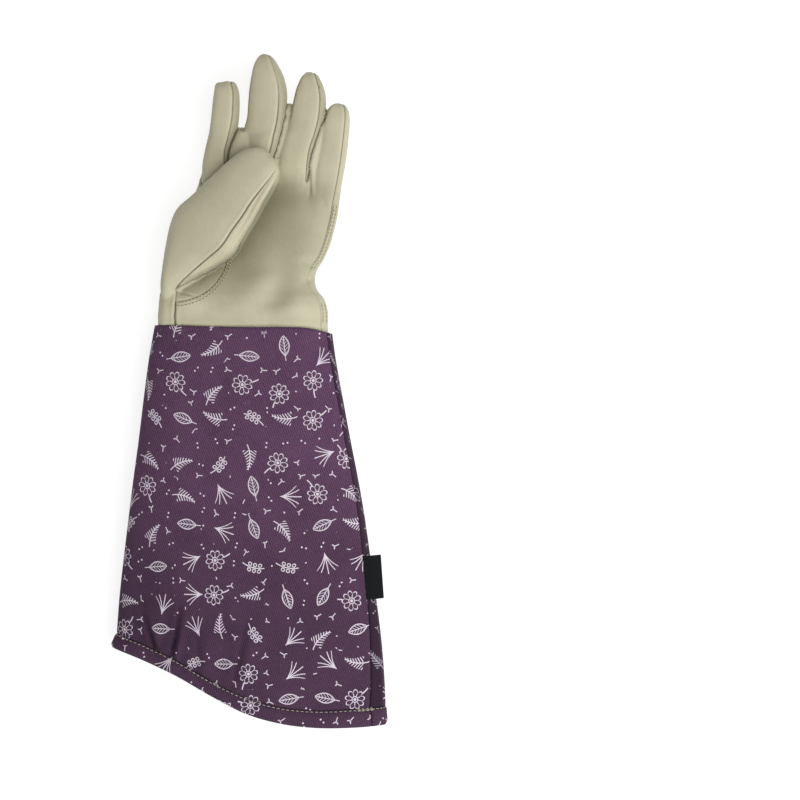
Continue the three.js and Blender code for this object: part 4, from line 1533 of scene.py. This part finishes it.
    def sprig(self, u: "Field", v: "Field", chance: "Field") -> "Field":
        """A small filler: a two-leaved shoot or three loose seeds.

        Args:
            u: Across the motif.
            v: Along it.
            chance: A random number that picks one.

        Returns:
            How white it is, 0 to 1.
        """
        side = abs(u)
        shoot = u.stroke(self.line * 0.8) * v.step(-2.9, -2.6) * (1 - v.step(0.8, 1.1))
        wing = ((side - 1.05) * (side - 1.05) * 1.6 + (v - side * 0.8) * (v - side * 0.8) * 3.0) ** 0.5
        leaves = 1 - wing.step(0.62, 0.9)
        away = abs(side - 1.3)
        seeds = 1 - ((away * away + v * v) ** 0.5).step(0.42, 0.66)
        kind = chance.step(0.58, 0.6)
        return shoot.most(leaves) * (1 - kind) + seeds * kind

    def draw(self, s: Shader, cloth: "Field") -> "Field":
        """The whole print.

        Args:
            s: The material's builder.
            cloth: The place on the cloth, in millimetres.

        Returns:
            How much white there is, 0 to 1.
        """
        u, v, r, chance = self.turned(s, cloth, self.cell, 0.42)
        motifs = [self.daisy(u, v, r), self.fern(u, v), self.leaf(u, v), self.berries(u, v), self.grass(u, v)]
        stops = [0.0, 0.3, 0.5, 0.66, 0.82, 1.0]
        large: Any = 0.0
        for motif, start, end in zip(motifs, stops, stops[1:]):
            pick = chance.math("GREATER_THAN", start) * chance.math("LESS_THAN", end)
            large = motif * pick + large
        u2, v2, r2, chance2 = self.turned(s, cloth, self.small_cell, 0.55)
        room = r.step(9.4, 9.8)
        small = self.sprig(u2, v2, chance2) * room * (1 - r2.step(3.4, 3.7))
        return large.most(small)


@dataclass(frozen=True)
class Cloth:
    """Matt cotton twill in heathered plum, with the meadow print, and painted shade towards the hem, behind
    the side seam and in the puckers.
    """

    name: str = "cuff_cloth"
    plum: tuple = linear(104, 73, 102)
    dusk: tuple = linear(60, 40, 58)
    ink: tuple = linear(216, 206, 216)
    # The colour that paints shade towards the hem.
    deep: tuple = linear(44, 31, 44)
    shadow: tuple = (0.008, 0.004, 0.008, 1)
    print_scale: float = 0.88

    def material(self) -> bpy.types.Material:
        """Builds the cloth.

        Returns:
            The material.
        """
        s = Shader(self.name)
        uv = s.node("UVMap", {"uv_map": "cloth"})
        cloth = s.scaled(uv, (1 / MM, 1 / MM, 0.0))
        x, y = s.axes(cloth)
        warp = s.noise(s.scaled(cloth, (2.6, 0.16, 1.0)), 1.0, 2, 0.6)
        weft = s.noise(s.scaled(cloth, (0.16, 2.6, 1.0)), 1.0, 2, 0.6)
        cloud = s.noise(cloth, 0.03, 3, 0.5)
        fleck = s.noise(s.scaled(cloth, (1.3, 0.9, 1.0)), 1.0, 2, 0.6)
        twill = ((x + y * 0.36 + fleck * 0.9) * (2 * math.pi / 1.6)).math("SINE") * 0.5 + 0.5
        tone = (warp * 0.35 + weft * 0.3 + cloud * 0.25 + fleck * 0.25 + twill * 0.22).step(0.42, 0.92)
        wander = s.noise(cloth, 0.35, 1, 0.5)
        mask = Meadow().draw(s, s.scaled(cloth, (self.print_scale, self.print_scale, 1.0)))
        worn = 0.74 + 0.3 * warp.step(0.3, 0.6)
        base = s.mix(tone, self.dusk, self.plum)
        # Painted shade: darker towards the hem.
        low = 1 - y.step(-205.0, -70.0)
        base = s.mix(low * 0.42, base, self.deep)
        # The seam attribute's dark: the side seam's line, with painted shade behind the seam and in the
        # puckers, which also dims the print.
        ridge = s.attribute("seam")
        base = s.mix(ridge * 0.75, base, self.shadow)
        colour = s.mix((mask * worn * (1 - ridge * 0.6)).least(1.0), base, self.ink)
        height = twill * 0.6 + warp * 0.25 + weft * 0.25 + wander * 0.2
        return s.finish(colour, 0.86 - mask * 0.08, height, 0.00016,
                        {"Specular IOR Level": 0.1, "Sheen Weight": 0.03, "Sheen Roughness": 0.6})


@dataclass(frozen=True)
class Thread:
    """Twisted sewing thread."""

    name: str
    light: tuple
    dark: tuple

    def material(self) -> bpy.types.Material:
        """Builds the thread.

        Returns:
            The material.
        """
        s = Shader(self.name)
        place = s.object_place()
        x, y = s.axes(place)
        ply = ((x + y) * (2 * math.pi / 0.00045)).math("SINE") * 0.5 + 0.5
        tone = ply * 0.35 + s.noise(place, 420, 2) * 0.65
        return s.finish(s.mix(tone, self.dark, self.light), 0.6 + 0.1 * ply, ply, 0.00006,
                        {"Specular IOR Level": 0.3, "Sheen Weight": 0.1})


@dataclass(frozen=True)
class Woven:
    """Close-woven black tape."""

    black: tuple = linear(4, 5, 7)
    grey: tuple = linear(14, 16, 20)

    def material(self) -> bpy.types.Material:
        """Builds the tape.

        Returns:
            The material.
        """
        s = Shader("tab_weave")
        place = s.object_place()
        x, y = s.axes(place)
        rib = (y * (2 * math.pi / 0.0007)).math("SINE") * 0.5 + 0.5
        thread = (x * (2 * math.pi / 0.0006)).math("SINE") * 0.5 + 0.5
        weave = rib * 0.6 + thread * 0.4
        tone = weave * 0.4 + s.noise(place, 500, 2) * 0.5
        return s.finish(s.mix(tone, self.black, self.grey), 0.62 + 0.1 * rib, weave, 0.00015,
                        {"Specular IOR Level": 0.15})


# Puckers above the hem: foot, length, depth (less than 0 swells), half width, lean in degrees and the
# strength of their painted shade.
PUCKERS = [
    (-59.6, -217, 24, 2.8, 2.4, -18, 1.0), (-46, -221, 30, 3.2, 2.6, 13, 1.0),
    (-28, -229, 27, 1.2, 3.4, 2, 0.5), (-1, -234, 34, 1.6, 3.4, 13, 0.6), (-10, -208, 24, 0.8, 4, 3, 0.3),
    (-53, -222, 40, -1.0, 5, -2, 0.0), (-64, -190, 50, 1.2, 12, 0, 0.3),
]


@dataclass
class Tube:
    """A flattened tube of cloth round the forearm: what the cuff and its hem share."""

    name: str
    node: str
    outward: float
    wall: float
    downs: int
    around: int = 396

    def y(self, across: np.ndarray, down: np.ndarray) -> np.ndarray:
        """How far along the glove the cloth is."""
        raise NotImplementedError

    def sides(self, y: np.ndarray, down: np.ndarray) -> tuple[np.ndarray, np.ndarray]:
        """The tube's two sides."""
        raise NotImplementedError

    def height(self, down: np.ndarray) -> np.ndarray:
        """The tube's height."""
        raise NotImplementedError

    def square(self, down: np.ndarray) -> np.ndarray:
        """How square its top is."""
        wrist, hem = CUFF_TOP_SQUARE
        return wrist + (hem - wrist) * np.minimum(1, down / CUFF_SQUARE_FADE)

    def seam_angle(self, down: np.ndarray) -> np.ndarray:
        """Where the side seam is, in degrees."""
        return spline(CUFF_SEAM, 1)(down)

    def points(self, angle: np.ndarray, down: np.ndarray, grow: Union[float, np.ndarray]) -> np.ndarray:
        """Points of the cloth.

        Args:
            angle: Angles round it, in radians.
            down: How far down it they are, 0 to 1.
            grow: How far out from the middle of the cloth.

        Returns:
            A row for each point.
        """
        c, s = np.cos(angle), np.sin(angle)
        square = np.where(s > 0, self.square(down), CUFF_BASE_SQUARE)
        across = (squared(c, square) + 1) / 2
        y = self.y(across, down)
        left, right = self.sides(y, down)
        round_ = squared(s, square)
        round_ = np.where(s < 0, np.maximum(round_ / REST_FLAT, -1), round_)
        height = self.height(down)
        x = left - grow + (right - left + 2 * grow) * across
        z = height / 2 + 1.8 + (height / 2 + grow) * round_
        return np.stack([x, y, z], axis=1)

    def relief(self, place: np.ndarray, angle: np.ndarray, down: np.ndarray) -> tuple[np.ndarray, np.ndarray]:
        """The folds of the cloth.

        Args:
            place: Points of the cloth.
            angle: Their angles.
            down: How far down they are.

        Returns:
            How far each rises, and how dark its seam and its painted shade are.
        """
        raise NotImplementedError

    def build(self, material: bpy.types.Material) -> None:
        """Wraps a grid round the tube, shapes it and dresses it.

        Args:
            material: The cloth's finish.
        """
        rows, cols = self.downs + 1, self.around + 1
        down, step = np.meshgrid(np.linspace(0, 1, rows), np.linspace(0, 1, cols), indexing="ij")
        angle = self.evenly(down[:, 0], step[0]).ravel()
        down = down.ravel()
        place = self.points(angle, down, self.outward)
        grid = place.reshape(rows, cols, 3)
        du, dv = np.gradient(grid, axis=0), np.gradient(grid, axis=1)
        normal = unit(np.cross(dv, du).reshape(-1, 3))
        centre = grid.mean(axis=1, keepdims=True)
        flip = np.sign(np.sum(normal.reshape(rows, cols, 3) * (grid - centre), axis=2)).reshape(-1, 1)
        normal = normal * np.where(flip.mean() < 0, -1, 1)
        rise, dark = self.relief(place, angle, down)
        place = place + normal * rise[:, None]
        place[:, 2] = np.maximum(place[:, 2], 0.42)
        lengths = np.linalg.norm(np.diff(grid, axis=1), axis=2)
        run = np.concatenate([np.zeros((rows, 1)), np.cumsum(lengths, axis=1)], axis=1)
        turns = np.degrees(angle).reshape(rows, cols)
        run = run - np.array([[np.interp(90, turn, row)] for turn, row in zip(turns, run)])
        flat = np.stack([-run.ravel(), place[:, 1]], axis=1) * MM
        bm = bmesh.new()
        bmesh.ops.create_grid(bm, x_segments=self.downs, y_segments=self.around, size=0.5)
        cloth = bm.loops.layers.uv.new("cloth")
        seam = bm.verts.layers.float.new("seam")
        numbers = {}
        for vert in bm.verts:
            number = round((vert.co.x + 0.5) * self.downs) * cols + round((vert.co.y + 0.5) * self.around)
            numbers[vert] = number
            vert[seam] = float(dark[number])
        for face in bm.faces:
            for loop in face.loops:
                loop[cloth].uv = flat[numbers[loop.vert]]
        for vert, number in numbers.items():
            vert.co = place[number] + SHIFT
        bmesh.ops.remove_doubles(bm, verts=bm.verts, dist=1e-3)
        bmesh.ops.recalc_face_normals(bm, faces=bm.faces)
        probe = max(bm.faces, key=lambda face: face.calc_center_median().z)
        if probe.normal.z < 0:
            bmesh.ops.reverse_faces(bm, faces=bm.faces)
        self.tree = BVHTree.FromBMesh(bm)
        piece = to_mesh(self.name, bm)
        piece.data.materials.append(material)
        thicken(piece, self.wall * MM)
        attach(piece, "root")
        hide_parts(self.node)
        log.info("%s: %d faces", self.name, len(piece.data.polygons))

    @staticmethod
    def puckered(place: np.ndarray, angle: np.ndarray) -> tuple[np.ndarray, np.ndarray]:
        """The folds that the hem's stitching draws into the cloth, and the painted shade in them.

        Args:
            place: Points of the cloth.
            angle: Their angles.

        Returns:
            How far each drops, and how much painted shade it gets.
        """
        top = fade(np.sin(angle), 0.0, 0.4)
        drop, dark = np.zeros(len(place)), np.zeros(len(place))
        for foot_x, foot_y, length, depth, half_width, lean, shade in PUCKERS:
            up = (place[:, 1] - foot_y) / length
            side = (place[:, 0] - foot_x - (place[:, 1] - foot_y) * math.tan(math.radians(lean))) / half_width
            along = np.where(up < 0, np.clip(1 + 2 * up, 0, 1), np.clip(1 - up, 0, 1) ** 0.8)
            drop += top * depth * along * (np.exp(-side * side) - 0.35 * np.exp(-((side - 1.8) ** 2)))
            # Painted shade: a dark line in each fold and a broad soft shade on its left.
            soft = 0.6 * np.exp(-((side + 1.7) / 1.8) ** 2)
            line = np.exp(-((side / 0.75) ** 2))
            dark = np.maximum(dark, top * shade * along**0.5 * np.maximum(line, soft))
        return drop, dark

    def evenly(self, downs: np.ndarray, steps: np.ndarray) -> np.ndarray:
        """Angles that lie evenly along the cloth, closer together at the side seam.

        Args:
            downs: How far down each row is.
            steps: How far round each column is, 0 to 1.

        Returns:
            A row of angles for each of the rows.
        """
        share = steps - 0.012 * np.sin(2 * math.pi * steps)
        fine = np.linspace(0, 2 * math.pi, 2401)
        rows = []
        for down in downs:
            angle = np.radians(self.seam_angle(np.array([down]))[0]) + fine
            place = self.points(angle, np.full(len(angle), down), self.outward)
            run = np.concatenate([[0.0], np.cumsum(np.linalg.norm(np.diff(place, axis=0), axis=1))])
            rows.append(np.interp(share * run[-1], run, angle))
        return np.array(rows)


class Cuff(Tube):
    """The flared gauntlet."""

    def y(self, across: np.ndarray, down: np.ndarray) -> np.ndarray:
        """How far along the glove the cloth is."""
        top, stitch = spline(CUFF_EDGES, 1)(across), spline(CUFF_EDGES, 2)(across)
        return top + (stitch - top) * down

    def sides(self, y: np.ndarray, down: np.ndarray) -> tuple[np.ndarray, np.ndarray]:
        """The cuff's two sides."""
        return spline(CUFF_SIDES, 1)(y), spline(CUFF_SIDES, 2)(y)

    def height(self, down: np.ndarray) -> np.ndarray:
        """The cuff's height."""
        return spline(CUFF_HEIGHTS, 1)(down)

    def relief(self, place: np.ndarray, angle: np.ndarray, down: np.ndarray) -> tuple[np.ndarray, np.ndarray]:
        """The side seam's groove, painted shade on the cloth behind it, and the puckers above the hem with
        their painted shade.

        Args:
            place: Points of the cloth.
            angle: Their angles.
            down: How far down they are.

        Returns:
            How far each rises, and how dark its seam and its painted shade are.
        """
        away = np.degrees(angle) - self.seam_angle(down)
        away = (away + 180) % 360 - 180
        groove = np.exp(-(away / 1.0) ** 2)
        rise = -0.9 * groove + 0.35 * np.exp(-((away - 3.2) / 2.2) ** 2)
        drop, fold = self.puckered(place, angle)
        # Painted shade on the side face just behind the seam.
        behind = 0.8 * (1 - fade(away, -1.0, 0.0)) * fade(away, -24.0, -14.0)
        return rise - drop, np.maximum(np.maximum(groove * 0.9, behind), fold)


class Hem(Tube):
    """The deep turned hem."""

    def y(self, across: np.ndarray, down: np.ndarray) -> np.ndarray:
        """How far along the glove the cloth is."""
        stitch, bottom = spline(CUFF_EDGES, 2)(across) - 0.3, spline(CUFF_EDGES, 3)(across)
        return stitch + (bottom - stitch) * down

    def sides(self, y: np.ndarray, down: np.ndarray) -> tuple[np.ndarray, np.ndarray]:
        """The hem's two sides."""
        return spline(CUFF_SIDES, 1)(y) - HEM_FLARE[0] * down, spline(CUFF_SIDES, 2)(y) + HEM_FLARE[1] * down

    def height(self, down: np.ndarray) -> np.ndarray:
        """The hem's height."""
        return CUFF_HEIGHTS[-1][1] - HEM_DROP * down

    def square(self, down: np.ndarray) -> np.ndarray:
        """How square its top is."""
        return np.full_like(down, CUFF_TOP_SQUARE[1])

    def seam_angle(self, down: np.ndarray) -> np.ndarray:
        """Where the side seam is, in degrees."""
        return np.full_like(down, CUFF_SEAM[-1][1])

    def relief(self, place: np.ndarray, angle: np.ndarray, down: np.ndarray) -> tuple[np.ndarray, np.ndarray]:
        """The hem's soft round turn, its groove at the stitching and the pulls of the thread.

        Args:
            place: Points of the cloth.
            angle: Their angles.
            down: How far down they are.

        Returns:
            How far each rises, and how dark its seam and its painted shade are.
        """
        turn = -1.5 * fade(down, 0.72, 1.0) ** 2 - 1.3 * (1 - fade(down, 0.0, 0.22))
        away = (np.degrees(angle) - self.seam_angle(down) + 180) % 360 - 180
        groove = np.exp(-(away / 0.9) ** 2)
        drop, fold = self.puckered(place, angle)
        # The side seam's dark line, with painted shade in the groove at the stitching and fading below it,
        # and in the puckers.
        dark = groove * 0.8 + 0.6 * (1 - fade(down, 0.0, 0.12)) + 0.25 * (1 - fade(down, 0.1, 0.6))
        return turn - 0.7 * groove - 0.6 * drop, np.minimum(np.maximum(dark, 0.8 * fold), 1)


@dataclass
class HemSewing:
    """The hem's topstitching, doubled where it ends beside the side seam."""

    down: float = 0.05
    tack_angles: tuple[float, float] = (27.0, 42.0)
    tack_rows: tuple[float, ...] = (0.0, 0.05, 0.1)

    def build(self, hem: Hem, thread: bpy.types.Material) -> None:
        """Sews round the hem.

        Args:
            hem: The finished hem.
            thread: The thread's material.
        """
        sewing = Stitches("hem_stitches", length=2.6, pitch=3.3, width=0.55)
        sewing.row(self.line(hem, 0.0, 360.0, self.down, 720), hem.tree)
        for down in self.tack_rows:
            sewing.row(self.line(hem, *self.tack_angles, down, 30), hem.tree)
        sewing.build("cuff_cloth", thread)

    @staticmethod
    def line(hem: Hem, start: float, end: float, down: float, count: int) -> np.ndarray:
        """A line round the hem between two angles in degrees."""
        angle = np.radians(np.linspace(start, end, count))
        return hem.points(angle, np.full(count, down), hem.outward) + SHIFT


@dataclass
class SideTab:
    """The bare woven tab that is caught in the side seam."""

    width: float = 13.0
    length: float = 30.0
    thick: float = 1.1
    lift: float = 1.3
    down: float = 0.655
    droop: float = 14.0
    slant: float = -4.0

    def build(self, cuff: Cuff, material: bpy.types.Material) -> None:
        """Builds the tab at its place on the cuff.

        Args:
            cuff: The cuff that carries it.
            material: The tape's finish.
        """
        down = np.array([self.down])
        root = cuff.points(np.radians(cuff.seam_angle(down)), down, 0.0)[0]
        bm = bmesh.new()
        bmesh.ops.create_grid(bm, x_segments=14, y_segments=30, size=0.5)
        for vert in bm.verts:
            across = vert.co.x + 0.5
            vert.co.x = across * self.width
            vert.co.y *= self.length
            vert.co.z = 0.5 * math.sin(across * math.pi) - 0.9 * across * across
        bmesh.ops.solidify(bm, geom=bm.faces, thickness=self.thick)
        rim = [edge for edge in bm.edges if edge.is_manifold and edge.calc_face_angle() > 1.0]
        bmesh.ops.bevel(bm, geom=rim, offset=0.3, segments=2, profile=0.5, affect="EDGES", material=-1)
        slant = Matrix.Rotation(-math.radians(self.slant), 4, "Z")
        droop = Matrix.Rotation(math.radians(self.droop), 4, "Y")
        place = Matrix.Translation(Vector(root + SHIFT) + Vector((0, 0, self.lift)))
        bmesh.ops.transform(bm, matrix=place @ (slant @ droop), verts=bm.verts)
        bmesh.ops.recalc_face_normals(bm, faces=bm.faces)
        piece = to_mesh("side_tab_tape", bm)
        piece.data.materials.append(material)
        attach(piece, "root")
        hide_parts("side_tab")
        log.info("side_tab_tape: %d faces", len(piece.data.polygons))


@dataclass
class Studio:
    """A white table, soft light from the lower right, and a camera straight above."""

    camera_place: tuple[float, float, float] = (0.1044, -0.0055, 1.4996)
    lens: float = 96.43
    sky: float = 0.22
    key_place: tuple[float, float, float] = (0.6, -0.33, 1.2)
    key_size: float = 1.6
    key_power: float = 26.5
    paper: tuple[float, float] = (0.29, 0.31)
    glow: float = 0.8

    def build(self) -> None:
        """Builds the camera, the lights and the floor."""
        scene = bpy.context.scene
        data = bpy.data.cameras.new("camera")
        data.lens = self.lens
        data.sensor_width = 36.0
        camera = bpy.data.objects.new("camera", data)
        camera.location = self.camera_place
        scene.collection.objects.link(camera)
        scene.camera = camera
        world = bpy.data.worlds.new("studio")
        world.use_nodes = True
        background = world.node_tree.nodes["Background"]
        background.inputs["Color"].default_value = (1, 1, 1, 1)
        background.inputs["Strength"].default_value = self.sky
        scene.world = world
        self.light("key", self.key_place, self.key_size, self.key_power)
        bm = bmesh.new()
        bmesh.ops.create_grid(bm, x_segments=1, y_segments=1, size=6.0)
        floor = to_mesh("floor", bm, 1.0)
        s = Shader("floor_paper")
        grain = s.noise(s.object_place(), 30)
        dark, light = ((grey, grey, grey, 1) for grey in self.paper)
        material = s.finish(s.mix(grain, dark, light), 0.9, grain, 0.00001,
                            {"Emission Color": (1, 1, 1, 1), "Emission Strength": self.glow})
        floor.data.materials.append(material)
        scene.view_settings.view_transform = "Standard"

    @staticmethod
    def light(name: str, place: tuple[float, float, float], size: float, power: float) -> None:
        """A square soft light that looks at the glove.

        Args:
            name: The light's name.
            place: Where it stands, in metres.
            size: Its side, in metres.
            power: Its power in watts.
        """
        data = bpy.data.lights.new(name, "AREA")
        data.size = size
        data.energy = power
        lamp = bpy.data.objects.new(name, data)
        lamp.location = place
        lamp.rotation_euler = (Vector((0, 0, 0)) - Vector(place)).to_track_quat("-Z", "Y").to_euler()
        bpy.context.scene.collection.objects.link(lamp)


def main() -> None:
    """Builds the studio and the glove's pieces in order."""
    logging.basicConfig(level=logging.INFO, format="%(message)s")
    Studio().build()
    log.info("studio built")
    hand = Hand()
    hand.build(Leather())
    thread = Thread("leather_thread", linear(206, 200, 172), linear(160, 152, 120))
    # Painted shade for the needle holes, in a dark thread's material.
    hole = Thread("needle_hole_shade", linear(84, 78, 56), linear(62, 56, 38))
    hand.sew(thread.material(), hole.material())
    cloth = Cloth().material()
    cuff = Cuff("cuff_gauntlet", "cuff", outward=0.9, wall=1.4, downs=124)
    cuff.build(cloth)
    hem = Hem("cuff_hem_turned", "cuff_hem", outward=1.4, wall=2.6, downs=16)
    hem.build(cloth)
    hem_thread = Thread("hem_thread", linear(205, 196, 178), linear(158, 148, 130))
    HemSewing().build(hem, hem_thread.material())
    SideTab().build(cuff, Woven().material())


if __name__ == "__main__":
    main()
